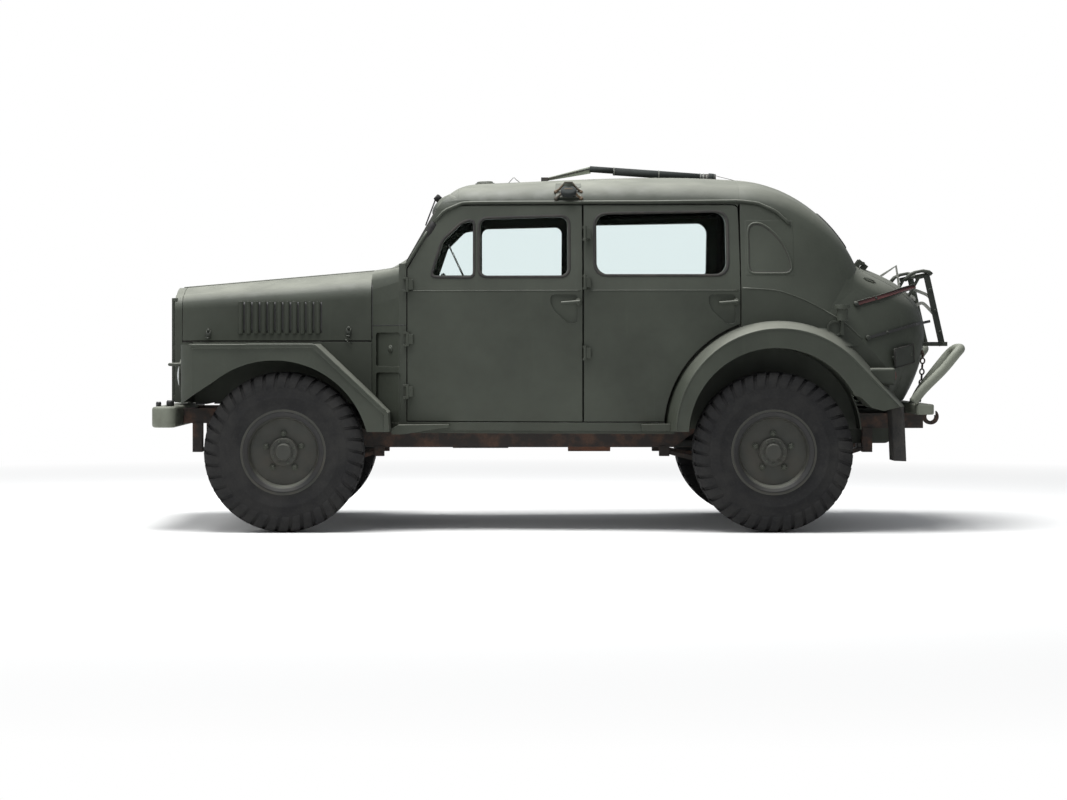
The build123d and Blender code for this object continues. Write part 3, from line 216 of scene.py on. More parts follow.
def painted_steel(name, base, dust_top=0.75, dust=(0.0235, 0.0225, 0.014), wear=(0.12, 0.125, 0.105)):
    """Matt paint with faint patches, fine dust low down, streaks and rubbed edges, and sky-facing faces lightened
    partly by dust and partly by a painted sheen of sky light.
    """
    gloss = 0.6
    # Colour for faces that look up: part settled dust, part painted sheen of sky light
    dust_and_sky_sheen = (0.225, 0.23, 0.195)
    recipe = Recipe(name, gloss, times(base, 0.86), **{"Specular IOR Level": 0.35})
    recipe.lay(recipe.patches(2.2, 5, 0.3, 0.7), tuple(min(1, value * 1.22 + 0.004) for value in base))
    recipe.lay(recipe.patches(240, 3, 0.62, 0.74, 0, 0.35), dust)
    low = recipe.ramp(recipe.upright(recipe.place), dust_top, 0.25)
    recipe.lay(recipe.product(low, recipe.patches(9, 6, 0.42, 0.75)), dust)
    recipe.lay(recipe.patches(26, 4, 0.6, 0.82, 0, 0.22, stretch=(1, 1, 0.06)), times(base, 1.9))
    # Faces turned to the sky are lightened by the surface normal: partly dust, partly a painted sheen of sky light
    to_sky = recipe.ramp(recipe.upright(recipe.node("ShaderNodeNewGeometry")["Normal"]), 0.45, 0.95)
    recipe.lay(recipe.product(to_sky, recipe.patches(3.5, 6, 0.25, 0.75, 0.35, 0.75)), dust_and_sky_sheen)
    recipe.lay(recipe.product(recipe.edges(0.0025), recipe.patches(30, 4, 0.46, 0.62, 0.15, 0.75)), wear)
    recipe.bump(recipe.noise(3.2, 1), 0.1, 0.02)
    recipe.bump(recipe.noise(420, 2), 0.06, 0.001)
    return recipe.finish(Roughness=recipe.patches(14, 5, 0.3, 0.7, gloss - 0.08, gloss + 0.1))


def rusty_steel(name, base, rust, amount):
    recipe = Recipe(name, 0.8, base)
    recipe.lay(recipe.patches(11, 8, 0.62 - amount * 0.35, 0.72 - amount * 0.2, roughness=0.65), rust)
    recipe.lay(recipe.patches(130, 4, 0.45, 0.7, 0, 0.45), times(rust, 0.5))
    recipe.edges(0.002)
    recipe.bump(recipe.noise(160, 5), 0.35, 0.002)
    return recipe.finish()


def worn_rubber(name, base, dust):
    recipe = Recipe(name, 0.82, base, **{"Specular IOR Level": 0.28})
    recipe.lay(recipe.patches(7, 7, 0.38, 0.72, roughness=0.62), dust)
    recipe.lay(recipe.patches(90, 4, 0.5, 0.8, 0, 0.5), times(dust, 1.25))
    recipe.edges(0.0015)
    recipe.bump(recipe.noise(120, 4), 0.25, 0.0015)
    return recipe.finish()


def window_glass(name):
    recipe = Recipe(name, 0.03, (0.86, 0.92, 0.92), IOR=1.08, **{"Transmission Weight": 1.0})
    return recipe.finish(Roughness=recipe.patches(6, 6, 0.35, 0.8, 0.02, 0.09))


def leather(name, base):
    recipe = Recipe(name, 0.52, times(base, 0.75))
    recipe.lay(recipe.patches(5, 5, 0.3, 0.7), times(base, 1.3))
    cells = recipe.node("ShaderNodeTexVoronoi", {"Scale": 420, "Vector": recipe.place}, feature="DISTANCE_TO_EDGE")
    recipe.bump(cells["Distance"], 0.3, 0.0006)
    recipe.bump(recipe.noise(26, 5), 0.25, 0.004)
    return recipe.finish()


def moulded(name, base, gloss):
    recipe = Recipe(name, gloss, times(base, 0.8))
    recipe.lay(recipe.patches(12, 5, 0.3, 0.7), times(base, 1.3))
    recipe.edges(0.001)
    recipe.bump(recipe.noise(300, 3), 0.15, 0.0008)
    return recipe.finish()


olive = (0.0275, 0.0322, 0.0232)
finishes = {
    "paint": painted_steel("army_paint", olive),
    "chassis": rusty_steel("chassis_steel", (0.022, 0.019, 0.017), (0.075, 0.04, 0.027), 0.45),
    "exhaust": rusty_steel("exhaust_steel", (0.055, 0.035, 0.028), (0.13, 0.055, 0.03), 0.75),
    "machinery": rusty_steel("cast_machinery", (0.03, 0.032, 0.03), (0.045, 0.035, 0.025), 0.35),
    "radiator": moulded("radiator_black", (0.018, 0.018, 0.018), 0.6),
    "tyre": worn_rubber("tyre_rubber", (0.007, 0.007, 0.0076), (0.019, 0.0185, 0.0175)),
    "rubber": worn_rubber("flap_rubber", (0.016, 0.016, 0.016), (0.04, 0.037, 0.032)),
    "glass": window_glass("window_glass"),
    "seat": leather("seat_leather", (0.085, 0.055, 0.035)),
    "black_plastic": moulded("black_plastic", (0.02, 0.02, 0.02), 0.4),
    "lamp": painted_steel("lamp_paint", olive),
}
for recipe_for, name, *values in (
        (painted_steel, "wheel_paint", (0.027, 0.028, 0.023), 0.9, (0.04, 0.036, 0.028), (0.085, 0.08, 0.066)),
        (painted_steel, "wheel_dark", (0.012, 0.012, 0.012), 0.9, (0.02, 0.018, 0.016), (0.05, 0.046, 0.038)),
        (painted_steel, "bumper_paint", (0.135, 0.145, 0.115), 0.9),
        (painted_steel, "dark_green", (0.016, 0.019, 0.014), 0.7),
        (rusty_steel, "clamp_brown", (0.03, 0.026, 0.018), (0.085, 0.055, 0.03), 0.5),
        (rusty_steel, "pale_metal", (0.3, 0.31, 0.28), (0.14, 0.12, 0.09), 0.25),
        (moulded, "red_lens", (0.1, 0.008, 0.007), 0.12),
        (moulded, "lamp_lens", (0.42, 0.44, 0.43), 0.08),
        (rusty_steel, "worn_metal", (0.2, 0.2, 0.19), (0.09, 0.06, 0.04), 0.25),
        (leather, "strap_red", (0.058, 0.016, 0.015)),
        (leather, "strap_dark", (0.014, 0.014, 0.013)),
        (moulded, "dial_white", (0.55, 0.54, 0.5), 0.3),
        (painted_steel, "pale_green", (0.33, 0.365, 0.29), 0.3),
        (moulded, "sleeve_black", (0.008, 0.011, 0.01), 0.9)):
    finishes[name] = recipe_for(name, *values)


def dress_nodes():
    """Give every CAD node its slot's finish, apart from the few with a paint of their own."""
    own = {"aerial_base": "paint", "steps": "paint"}
    for part in frame["record"]["subparts"]:
        name = part["node"]
        finish = "wheel_paint" if name.startswith("rim_") else own.get(name, part["material_slot"])
        materials = frame["nodes"][name].data.materials
        materials.clear()
        materials.append(finishes[finish])


def make_floor():
    """A pale floor that fades into the white background."""
    bpy.ops.mesh.primitive_circle_add(vertices=96, radius=60, fill_type="NGON", location=(0, 0, 0))
    floor = bpy.context.object
    floor.name = "studio_floor"
    recipe = Recipe("studio_floor", 0.9, (0.78, 0.78, 0.77), **{"Specular IOR Level": 0.1})
    distance = recipe.node("ShaderNodeVectorMath", {0: recipe.place}, operation="LENGTH")["Value"]
    path = recipe.node("ShaderNodeLightPath")
    seen = recipe.product(recipe.ramp(distance, 3.5, 9.0), path["Is Camera Ray"])
    white = recipe.node("ShaderNodeEmission", {"Color": (1, 1, 1)})
    mix = recipe.node("ShaderNodeMixShader", {0: seen, 1: recipe.shader.outputs[0], 2: white[0]})
    fill(recipe.tree, recipe.tree.nodes["Material Output"], {"Surface": mix[0]})
    floor.data.materials.append(recipe.finish())


# Shapes: each is a list of points and a list of faces
def stack(rows, around=False, first=True, last=True):
    """A skin over rows of points, each row a closed rim; around joins the last row to the first one."""
    rim = len(rows[0])
    count = len(rows)
    faces = []
    for row in range(count if around else count - 1):
        other = (row + 1) % count
        for index in range(rim):
            following = (index + 1) % rim
            faces.append((row * rim + index, row * rim + following, other * rim + following, other * rim + index))
    if first and not around:
        faces.append(tuple(reversed(range(rim))))
    if last and not around:
        faces.append(tuple(range((count - 1) * rim, count * rim)))
    return [point for row in rows for point in row], faces


def joined(*shapes):
    """Several shapes as one."""
    points = []
    faces = []
    for some_points, some_faces in shapes:
        start = len(points)
        points.extend(some_points)
        faces.extend(tuple(start + index for index in face) for face in some_faces)
    return points, faces


def patch(spots, steepest=1.0):
    """A sheet over points kept by column and row, open where four neighbours differ too much in Y."""
    number = {key: index for index, key in enumerate(spots)}
    faces = []
    for column, row in spots:
        corners = [(column, row), (column + 1, row), (column + 1, row + 1), (column, row + 1)]
        if all(corner in number for corner in corners):
            reaches = [spots[corner].y for corner in corners]
            if max(reaches) - min(reaches) < steepest:
                faces.append(tuple(number[corner] for corner in corners))
    return list(spots.values()), faces


def turns(count):
    """Angles spread evenly over one turn."""
    return [2 * pi * step / count for step in range(count)]


def ring(middle, across, over, count):
    """Points round an oval with those half axes."""
    return [Vector(middle) + Vector(across) * cos(turn) + Vector(over) * sin(turn) for turn in turns(count)]


def curve(start, bend, end, part):
    """A point on the curve that leaves start toward bend and comes to end from there."""
    return start.lerp(bend, part).lerp(bend.lerp(end, part), part)


def rounded(corners, radius, steps=8):
    """Points round a closed outline of corners, each rounded by a radius."""
    corners = [Vector(corner) for corner in corners]
    points = []
    for before, here, after in zip(corners[-1:] + corners, corners, corners[1:] + corners[:1]):
        reach = min(radius, (before - here).length * 0.45, (after - here).length * 0.45)
        start = here + (before - here).normalized() * reach
        end = here + (after - here).normalized() * reach
        points += [curve(start, here, end, part) for part in numpy.linspace(0, 1, steps + 1)]
    return points


def evenly(points, spacing, closed=False):
    """The same line with points at an even spacing."""
    line = [Vector(point) for point in points]
    if closed:
        line.append(line[0])
    lengths = [(second - first).length for first, second in zip(line, line[1:])]
    count = max(2, round(sum(lengths) / spacing))
    result = []
    index = 0
    passed = 0.0
    for step in range(count if closed else count + 1):
        want = sum(lengths) * step / count
        while index < len(lengths) - 1 and passed + lengths[index] < want:
            passed += lengths[index]
            index += 1
        part = (want - passed) / lengths[index] if lengths[index] > 1e-9 else 0.0
        result.append(line[index].lerp(line[index + 1], part))
    return result


def smooth_line(points, steps=8):
    """A smooth curve through points."""
    line = [Vector(point) for point in points]
    line = [line[0] * 2 - line[1]] + line + [line[-1] * 2 - line[-2]]
    result = []
    for a, b, c, d in zip(line, line[1:], line[2:], line[3:]):
        for step in range(steps):
            t = step / steps
            result.append(0.5 * (b * 2 + (c - a) * t + (a * 2 - b * 5 + c * 4 - d) * t * t
                                 + (b * 3 - a - c * 3 + d) * t * t * t))
    return result + [line[-2]]


def oval(wide, high, sides=10, sunk=0.0):
    """A section for sweep: half width, half height, and how far it sinks below its line."""
    return [(wide * cos(turn), high * sin(turn) - sunk) for turn in turns(sides)]


def flat_bar(wide, low, high):
    return [(-wide, low), (wide, low), (wide, high), (-wide, high)]


def sweep(points, section, up, closed=False):
    """Run a section along points; its second coordinate stands off along up."""
    line = [Vector(point) for point in points]
    count = len(line)
    rows = []
    for index, point in enumerate(line):
        before = line[index - 1] if closed or index else point
        after = line[(index + 1) % count] if closed or index + 1 < count else point
        along = (after - before).normalized()
        side = along.cross(Vector(up[index] if isinstance(up, list) else up)).normalized()
        rise = side.cross(along)
        rows.append([point + side * u + rise * v for u, v in section])
    return stack(rows, around=closed)


def bar(points, radius, sides=12):
    """A round bar or wire along points."""
    return sweep(points, oval(radius, radius, sides), (0.13, 0.21, 0.97))


def plate(corners, thickness, direction):
    """A thin flat plate from its outline corners, thickened along a direction."""
    shift = Vector(direction).normalized() * thickness
    corners = [Vector(corner) for corner in corners]
    return stack([corners, [corner + shift for corner in corners]])


def bolt(place, direction, radius, height, sides=6):
    """A bolt head that stands on a surface."""
    along = Vector(direction).normalized()
    side = along.cross(Vector((0, 0, 1)) if abs(along.z) < 0.9 else Vector((1, 0, 0))).normalized()
    rise = side.cross(along)
    return stack([ring(Vector(place) + along * reach, side * wide, rise * wide, sides)
                  for reach, wide in ((-0.002, radius), (height * 0.75, radius), (height, radius * 0.8))])


def hoop(middle, radius, section, count):
    """A round rim that faces forward."""
    return sweep(ring(middle, (0, radius, 0), (0, 0, radius), count), section, (1, 0, 0), True)


def rounded_block(low, high, corner, edge):
    """A block with corners rounded in plan and its top and bottom edges rounded too."""
    low, high = Vector(low), Vector(high)
    middle = (low + high) / 2
    levels = [(edge * (1 - sin(bend)), low.z + edge * (1 - cos(bend))) for bend in numpy.linspace(0, pi / 2, 6)]
    levels += [(inset, low.z + high.z - z) for inset, z in reversed(levels)]
    rows = []
    for inset, z in levels:
        radius = max(corner - inset, 0.002)
        shrink = inset + radius
        row = []
        for quarter, (a, b) in enumerate(((1, 1), (-1, 1), (-1, -1), (1, -1))):
            x = middle.x + a * (high.x - middle.x - shrink)
            y = middle.y + b * (high.y - middle.y - shrink)
            row += [(x + radius * cos(bend), y + radius * sin(bend), z)
                    for bend in numpy.linspace(0, pi / 2, 7) + quarter * pi / 2]
        rows.append(row)
    return stack(rows)


def chain(start, end, link, wire):
    """A taut chain: flat oval links, each turned a quarter from the one before."""
    start, end = Vector(start), Vector(end)
    along = (end - start).normalized()
    side = along.cross(Vector((0, 1, 0))).normalized()
    other = side.cross(along)
    count = max(2, round((end - start).length / (link - 2.2 * wire)))
    shapes = []
    for index in range(count):
        middle = start.lerp(end, (index + 0.5) / count)
        across = side if index % 2 else other
        rim = ring(middle, along * (link / 2 - wire), across * (link * 0.3), 14)
        shapes.append(sweep(rim, oval(wire, wire, 6), along.cross(across), True))
    return joined(*shapes)


# Pieces
def single(name, shape, slot="paint", body="car", material=None, smooth=True):
    """One piece from a shape or a list of shapes."""
    points, faces = joined(*shape) if isinstance(shape, list) else shape
    mesh = bpy.data.meshes.new(name)
    mesh.from_pydata([tuple(point) for point in points], [], faces)
    mesh.validate()
    work = bmesh.new()
    work.from_mesh(mesh)
    bmesh.ops.recalc_face_normals(work, faces=work.faces)
    work.to_mesh(mesh)
    work.free()
    if smooth:
        mesh.shade_smooth()
    mesh.materials.append(finishes[material or slot])
    piece = placed(name, mesh)
    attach(piece, body)
    return piece


def pair(name, shape, slot="paint", body="car", material=None, smooth=True):
    """The same piece on the left and on the right."""
    points, faces = joined(*shape) if isinstance(shape, list) else shape
    for side, hand in (("left", 1), ("right", -1)):
        flank = [(x, hand * y, z) for x, y, z in points], faces
        single(f"{name}_{side}", flank, slot, body.replace("left", side), material, smooth)


# Wheels
def beside(centre, radius, reach, turn):
    """A point at that radius and angle about a wheel's line."""
    return Vector((centre[0] + radius * cos(turn), centre[1] + reach, centre[2] + radius * sin(turn)))


def lathe(profile, steps, centre, hand):
    """A closed profile of (radius, reach) turned about a wheel's line."""
    rows = [[beside(centre, radius, hand * reach, turn) for radius, reach in profile] for turn in turns(steps)]
    return stack(rows, around=True)


def tyre(name, body, node, centre, hand):
    """A cross-country tyre: a turned carcass, shoulder lugs that wrap down its sides, and middle blocks."""
    base = tyre_radius - tread_depth * 0.8
    crest = tyre_radius - 0.0008
    half = [
        (0.2142, 0.108), (0.226, 0.112), (0.232, 0.1165), (0.24, 0.117), (0.246, 0.1145), (0.262, 0.117),
        (0.292, 0.1215), (0.296, 0.1235), (0.304, 0.1235), (0.308, 0.122), (0.338, 0.1235), (0.352, 0.1228),
        (0.385, 0.116), (0.402, 0.109), (0.412, 0.098), (base, 0.087), (base + 0.003, 0.04),
    ]
    profile = half + [(base + 0.004, 0.0)] + [(radius, -reach) for radius, reach in reversed(half)]
    shapes = [lathe(profile, 120, centre, hand)]
    shoulder = [(0.352, 0.122, 1.2), (0.359, 0.1248, 1.1), (0.384, 0.1225, 0.8), (0.406, 0.1165, 0.6),
                (0.424, 0.1065, 0.4), (0.4345, 0.095, 0.2), (crest, 0.048, 0.0), (base - 0.008, 0.048, 0.0),
                (base - 0.012, 0.082, 0.2), (0.398, 0.104, 0.6), (0.376, 0.113, 0.8), (0.346, 0.116, 1.2)]
    middle = [(crest, 0.042, 0.3), (crest, 0.003, -0.5), (base - 0.006, 0.003, -0.5), (base - 0.006, 0.042, 0.3)]
    lug_foot = 0.36
    pitch = 2 * pi / lug_count
    for step in range(lug_count):
        reach_down = 1.0 if step % 2 else 0.8
        outer = [(radius if radius > lug_foot else lug_foot - (lug_foot - radius) * reach_down, reach, slip)
                 for radius, reach, slip in shoulder]
        for flank in (-1, 1):
            lead = (step + (0.5 if flank > 0 else 0)) * pitch
            for loop, ends in ((outer, (0.7, 0)), (middle, (0.92, 0.32))):
                shapes.append(stack([[beside(centre, radius, flank * reach, lead + pitch * (end + slip * 0.35))
                                      for radius, reach, slip in loop] for end in ends]))
    piece = single(name, shapes, "tyre", body)
    piece.data.set_sharp_from_angle(angle=radians(35))
    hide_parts(node)


def nut(place, hand, height, radius, sides, turn=0.0, top=1.0):
    """A nut, washer or stud on a wheel's face, narrowed to top at its end."""
    across = Vector((cos(turn), 0, sin(turn))) * radius
    over = Vector((-sin(turn), 0, cos(turn))) * radius
    rows = [ring(place + Vector((0, hand * height * reach, 0)), across * scale, over * scale, sides)
            for reach, scale in ((0, 1.0), (0.8, 1.0), (1, top))]
    return stack(rows, first=False)


def wheel_details(name, body, centre, hand, hub_bolts):
    """Wheel nuts on their studs, and the hub's ring of small bolts."""
    shapes = []
    for index in range(nut_count):
        turn = 2 * pi * (index + 0.25) / nut_count
        for lift, *sizes in ((0, 0.006, 0.019, 24), (0.004, 0.018, 0.0145, 6, turn, 0.85),
                             (0.02, 0.01, 0.0065, 12, 0, 0.8)):
            shapes.append(nut(beside(centre, nut_circle, hand * (nut_seat + lift), turn), hand, *sizes))
    for index in range(hub_bolts):
        turn = 2 * pi * (index + 0.5) / hub_bolts
        shapes.append(nut(beside(centre, hub_circle, hand * hub_seat, turn), hand, 0.009, 0.0065, 6, turn, 0.85))
    single(name, shapes, body=body, smooth=False)


def make_wheels():
    band = [(0.193, 0.1015), (0.201, 0.106), (0.214, 0.115), (0.2215, 0.1195), (0.2215, 0.1172),
            (0.201, 0.1035), (0.193, 0.0985)]
    for end, x, hub_bolts in (("front", front_axle_x, 8), ("rear", rear_axle_x, 10)):
        for side, hand in (("left", -1), ("right", 1)):
            body = f"wheel_{end}_{side}"
            centre = Vector((x, hand * wheel_y, axle_z))
            tyre(f"tread_{end}_{side}", body, f"tyre_{end}_{side}", centre, hand)
            wheel_details(f"nuts_{end}_{side}", body, centre, hand, hub_bolts)
            single(f"rim_band_{end}_{side}", lathe(band, 96, centre, hand), body=body, material="wheel_dark")


# Finding the body's surface: where a ray starts, from two coordinates, and which way it runs
rays = {
    "left": (lambda x, z: (x, -3, z), (0, 1, 0)),
    "inside": (lambda x, z: (x, 0, z), (0, -1, 0)),
    "above": (lambda x, y: (x, y, 4), (0, 0, -1)),
    "front": (lambda y, z: (-4, y, z), (1, 0, 0)),
    "behind": (lambda y, z: (4, y, z), (-1, 0, 0)),
}


class Skin:
    """The surface of some CAD nodes, found by rays."""

    def __init__(self, *names):
        meshes = [frame["nodes"][name].data for name in names]
        self.tree = BVHTree.FromPolygons(*joined(*(
            ([vertex.co.copy() for vertex in mesh.vertices], [face.vertices for face in mesh.polygons])
            for mesh in meshes)))

    def hit(self, way, a, b):
        """The point that a ray meets and the normal there, or None and None."""
        start, run = rays[way]
        return self.tree.ray_cast(Vector(start(a, b)), Vector(run))[:2]

    def at(self, way, a, b, lift=0.0):
        """A point that lies lift off the surface, and the surface's normal."""
        place, normal = self.hit(way, a, b)
        return place + normal * lift, normal

    def along(self, way, outline, past=9.0):
        """Points and normals of an outline laid on the surface, where it lies further left than past."""
        hits = [self.hit(way, a, b) for a, b in outline]
        hits = [(place, normal) for place, normal in hits if place is not None and place.y < past]
        return [place for place, _ in hits], [normal for _, normal in hits]

    def strip(self, places, wide, low, high):
        """A flat strip laid over places on the left."""
        points, normals = self.along("left", evenly(places, 0.02))
        return sweep(points, flat_bar(wide, low, high), normals)

    def rim(self, way, corners, radius, section):
        """A section run round an outline with rounded corners."""
        points, normals = self.along(way, evenly(rounded(corners, radius), 0.02, True))
        return sweep(points, section, normals, True)

    def net(self, low, high, columns, rows, past=0.0):
        """Points met from the left, by column and row, where they lie further out than past."""
        spots = {}
        for row in range(rows + 1):
            for column in range(columns + 1):
                place, _ = self.hit("left", low[0] + (high[0] - low[0]) * column / columns,
                                    low[1] + (high[1] - low[1]) * row / rows)
                if place is not None and place.y < past:
                    spots[column, row] = place
        return spots


# Body trim
def window_rubbers():
    """Black rubber round each side window, laid just outside its opening."""
    for name, radius, door, corners in (
            ("vent_rubber", 0.03, "door_front_left",
             [(-0.705, 1.412), (-0.478, 1.412), (-0.478, 1.712), (-0.54, 1.7), (-0.64, 1.6)]),
            ("front_rubber", 0.05, "door_front_left",
             [(-0.436, 1.41), (0.044, 1.41), (0.044, 1.735), (-0.436, 1.722)]),
            ("rear_rubber", 0.072, "door_rear_left",
             [(0.205, 1.415), (0.918, 1.415), (0.918, 1.761), (0.205, 1.748)])):
        corners = [Vector(corner) for corner in corners]
        middle = sum(corners, Vector((0, 0))) / len(corners)
        grown = [corner + (corner - middle).normalized() * 0.013 for corner in corners]
        pair(name, Skin(door).rim("left", grown, radius, oval(0.0075, 0.0045)), "rubber", door)


def roof_rail():
    """The drip rail over the doors, which runs on behind the rear door."""
    skin = Skin("cowl_panel", "roof_panel", "quarter_left", "door_front_left", "door_rear_left")
    line = [(-0.848, 1.468), (-0.772, 1.592), (-0.699, 1.704), (-0.644, 1.765), (-0.594, 1.797), (-0.532, 1.814),
            (-0.403, 1.8155), (0.0, 1.816), (0.5, 1.817), (0.999, 1.822), (1.1, 1.81), (1.2, 1.765), (1.275, 1.695)]
    points, normals = skin.along("left", evenly(line, 0.03))
    pair("drip_rail", sweep(points, oval(0.009, 0.011, 10, -0.003), normals))


def bumpers():
    """The front beam with its posts, the rear beam with its two hoops, and the tail's chains."""
    beam = rounded_block((-2.25, -0.78, 0.57), (-2.115, 0.78, 0.685), 0.05, 0.016)
    front = single("bumper_front", beam, material="bumper_paint")
    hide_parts("front_bumper")
    foot = 0.683
    posts = [bolt((x, hand * 0.6, foot), (0, 0, 1), radius, top - foot, 24)
             for hand in (-1, 1) for x, radius, top in ((-2.165, 0.022, 0.718), (-2.23, 0.015, 0.71))]
    single("bumper_posts", posts, "black_plastic")
    low = min(vertex.co.z for vertex in frame["nodes"]["rear_bumpers"].data.vertices)
    shapes = [rounded_block((1.96, -0.81, low), (2.0597, 0.81, 0.7), 0.02, 0.01)]
    path = [(1.945, 0.79, 0.712), (2.006, 0.79, 0.786), (2.11, 0.79, 0.89), (2.184, 0.785, 0.978),
            (2.212, 0.745, 1.004), (2.218, 0.645, 1.008), (2.212, 0.55, 1.002), (2.182, 0.505, 0.97),
            (2.1, 0.5, 0.868), (2.03, 0.5, 0.775), (1.985, 0.5, 0.69)]
    for hand in (-1, 1):
        line = smooth_line([(x, hand * y, z) for x, y, z in path])
        shapes.append(sweep(line, oval(0.026, 0.026, 20), (0.5, 0.3, -0.8)))
    rear = single("bumper_rear", shapes, material="bumper_paint")
    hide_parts("rear_bumpers")
    start, normal = Skin("quarter_left").at("behind", -0.455, 0.985, 0.012)
    shackle = bolt(start - normal * 0.012, normal, 0.013, 0.012, 12)
    pair("tail_chain", [chain(start, (2.035, -0.455, 0.708), 0.04, 0.0045), shackle], "chassis")


def cowl_fillet():
    """The cowl's sweep up to the windscreen, and the swell of the roof above it."""
    skin = Skin("cowl_panel", "roof_panel")
    rows = []
    for y in numpy.linspace(-0.735, 0.735, 45):
        start, _ = skin.hit("above", -0.96, y)
        edge, _ = skin.hit("above", -0.862, y)
        if start is None or edge is None:
            continue
        end, _ = skin.hit("front", y, edge.z + 0.024)
        if end is None:
            continue
        start = start + Vector((0, 0, -0.0015))
        bend = Vector((edge.x, y, edge.z + 0.004))
        end = end + Vector((0.002, 0, 0))
        rows.append([curve(start, bend, end, part) for part in numpy.linspace(0, 1, 9)]
                    + [Vector((edge.x + 0.01, y, edge.z - 0.016))])
    single("cowl_fillet", stack(rows))
    rows = []
    for y in numpy.linspace(-0.64, 0.64, 49):
        place, normal = skin.hit("front", y, 1.826)
        rise = normal.cross(Vector((0, 1, 0))).normalized()
        swell = 0.006 + 0.026 * max(0.0, 1 - (abs(y) / 0.64) ** 3)
        rows.append(ring(place - normal * 0.007, rise * 0.06, normal * swell, 18))
    single("header_swell", stack(rows))


def wing_beads():
    """The rolled edge along the top of each front wing."""
    skin = Skin("front_fenders")
    points = []
    for x in numpy.linspace(-2.062, -0.93, 57):
        for z in numpy.arange(1.06, 0.6, -0.002):
            place, _ = skin.hit("left", x, z)
            if place is not None and place.y < -0.93:
                points.append((x, wing_edge_y, z - 0.002))
                break
    pair("wing_bead", sweep(points, oval(0.0055, 0.0055, 10), (0, 1, 0)))


def hood_seat():
    """A dark strip inside the hood's lower edge as painted shade in the gap beneath it, and the radiator's stay
    behind the grille.
    """
    corners = [(x, -0.0015, z) for x, z in ((-2.118, 1.03), (-2.042, 1.03), (-2.042, 1.092), (-2.118, 1.092))]
    single("radiator_stay", plate(corners, 0.003, (0, 1, 0)), "radiator", smooth=False)
    # The dark strip below the hood's side edge paints the shade in the gap there
    skin = Skin("hood_left")
    points = []
    for x in numpy.linspace(-2.134, -1.036, 41):
        place, _ = skin.hit("inside", min(max(x, -2.05), -1.06), 1.085)
        points.append((x, place.y + 0.006, 1.056))
    pair("hood_seat", sweep(points, flat_bar(0.026, -0.002, 0.002), (0, 1, 0)), "rubber")


def quarter_blind():
    """The blanked quarter light: a smooth sheet over the flank with a pressed outline, and a dark line inside it as
    painted shade of the groove.
    """
    low, high = (1.02, 1.402), (1.3, 1.722)
    columns, rows = 40, 46
    groove_depth = 0.0012
    lift = 0.0009
    spots = Skin("quarter_left").net(low, high, columns, rows)

    def terms(x, z):
        u = (x - low[0]) / (high[0] - low[0])
        v = (z - low[1]) / (high[1] - low[1])
        return [u ** a * v ** b for a in range(5) for b in range(5 - a)]

    kept = list(spots.values())
    for _ in range(5):
        fit = numpy.linalg.lstsq(numpy.array([terms(spot.x, spot.z) for spot in kept]),
                                 numpy.array([spot.y for spot in kept]), rcond=None)[0]
        kept = [spot for spot in spots.values()
                if spot.y - float(numpy.dot(terms(spot.x, spot.z), fit)) < groove_depth]

    def on_fit(x, z, lift=lift):
        return Vector((x, float(numpy.dot(terms(x, z), fit)) - lift, z))

    sheet = {}
    for (column, row), spot in spots.items():
        smooth_y = on_fit(spot.x, spot.z, 0.0).y
        border = min(column, row, columns - column, rows - row) == 0
        sheet[column, row] = Vector((spot.x, min(spot.y, smooth_y) + (0.0015 if border else -lift), spot.z))
    pair("quarter_blind", patch(sheet))
    outline = smooth_line([(1.04, 1.56), (1.041, 1.645), (1.052, 1.684), (1.083, 1.7), (1.128, 1.69),
                           (1.184, 1.648), (1.236, 1.588), (1.268, 1.52), (1.282, 1.462), (1.273, 1.432),
                           (1.242, 1.421), (1.15, 1.42), (1.072, 1.421), (1.047, 1.435), (1.04, 1.475),
                           (1.04, 1.53)], 5)
    outline = evenly(outline, 0.012, True)
    normals = [(on_fit(x + 0.005, z) - on_fit(x, z)).cross(on_fit(x, z + 0.005) - on_fit(x, z)).normalized()
               for x, z in outline]
    rib = sweep([on_fit(x, z) for x, z in outline], oval(0.0065, 0.0038, 10), normals, True)
    pair("quarter_rib", rib)
    # A thin dark line just inside the rib: painted shade of a pressed groove
    middle = Vector((1.14, 1.545))
    inner = [spot + (middle - spot).normalized() * 0.0085 for spot in outline]
    line = sweep([on_fit(x, z) for x, z in inner], oval(0.0028, 0.0011, 6), normals, True)
    pair("quarter_line", line, "rubber")


def creases():
    """The thin light lines that the pressed panels show, and dark strips on the cowl that paint the shade in its gap
    and along its seam.
    """
    for door, start, end in (("door_front_left", -0.832, 0.112), ("door_rear_left", 0.168, 0.985)):
        line = Skin(door).strip([(start, belt_z), (end, belt_z)], 0.003, -0.001, 0.0013)
        pair(f"{door[:-5]}_belt", line, body=door)
    line = smooth_line([(1.006, 1.339), (1.11, 1.333), (1.206, 1.323), (1.322, 1.2845), (1.41, 1.242),
                        (1.492, 1.1965), (1.58, 1.1415), (1.668, 1.059)], 6)
    pair("swell_bead", Skin("quarter_left").strip(line, 0.004, -0.001, 0.0016))
    # Dark strips on the cowl: painted shade in the gap at the hood's rear edge and along the cowl's seam
    skin = Skin("cowl_panel")
    front = -1.0455
    pair("cowl_gap_shade", [skin.strip([(front, 1.062), (front, 1.365)], 0.0026, -0.001, 0.0009),
                        skin.strip([(front, 1.136), (-0.852, 1.136)], 0.002, -0.001, 0.0009)], "radiator")


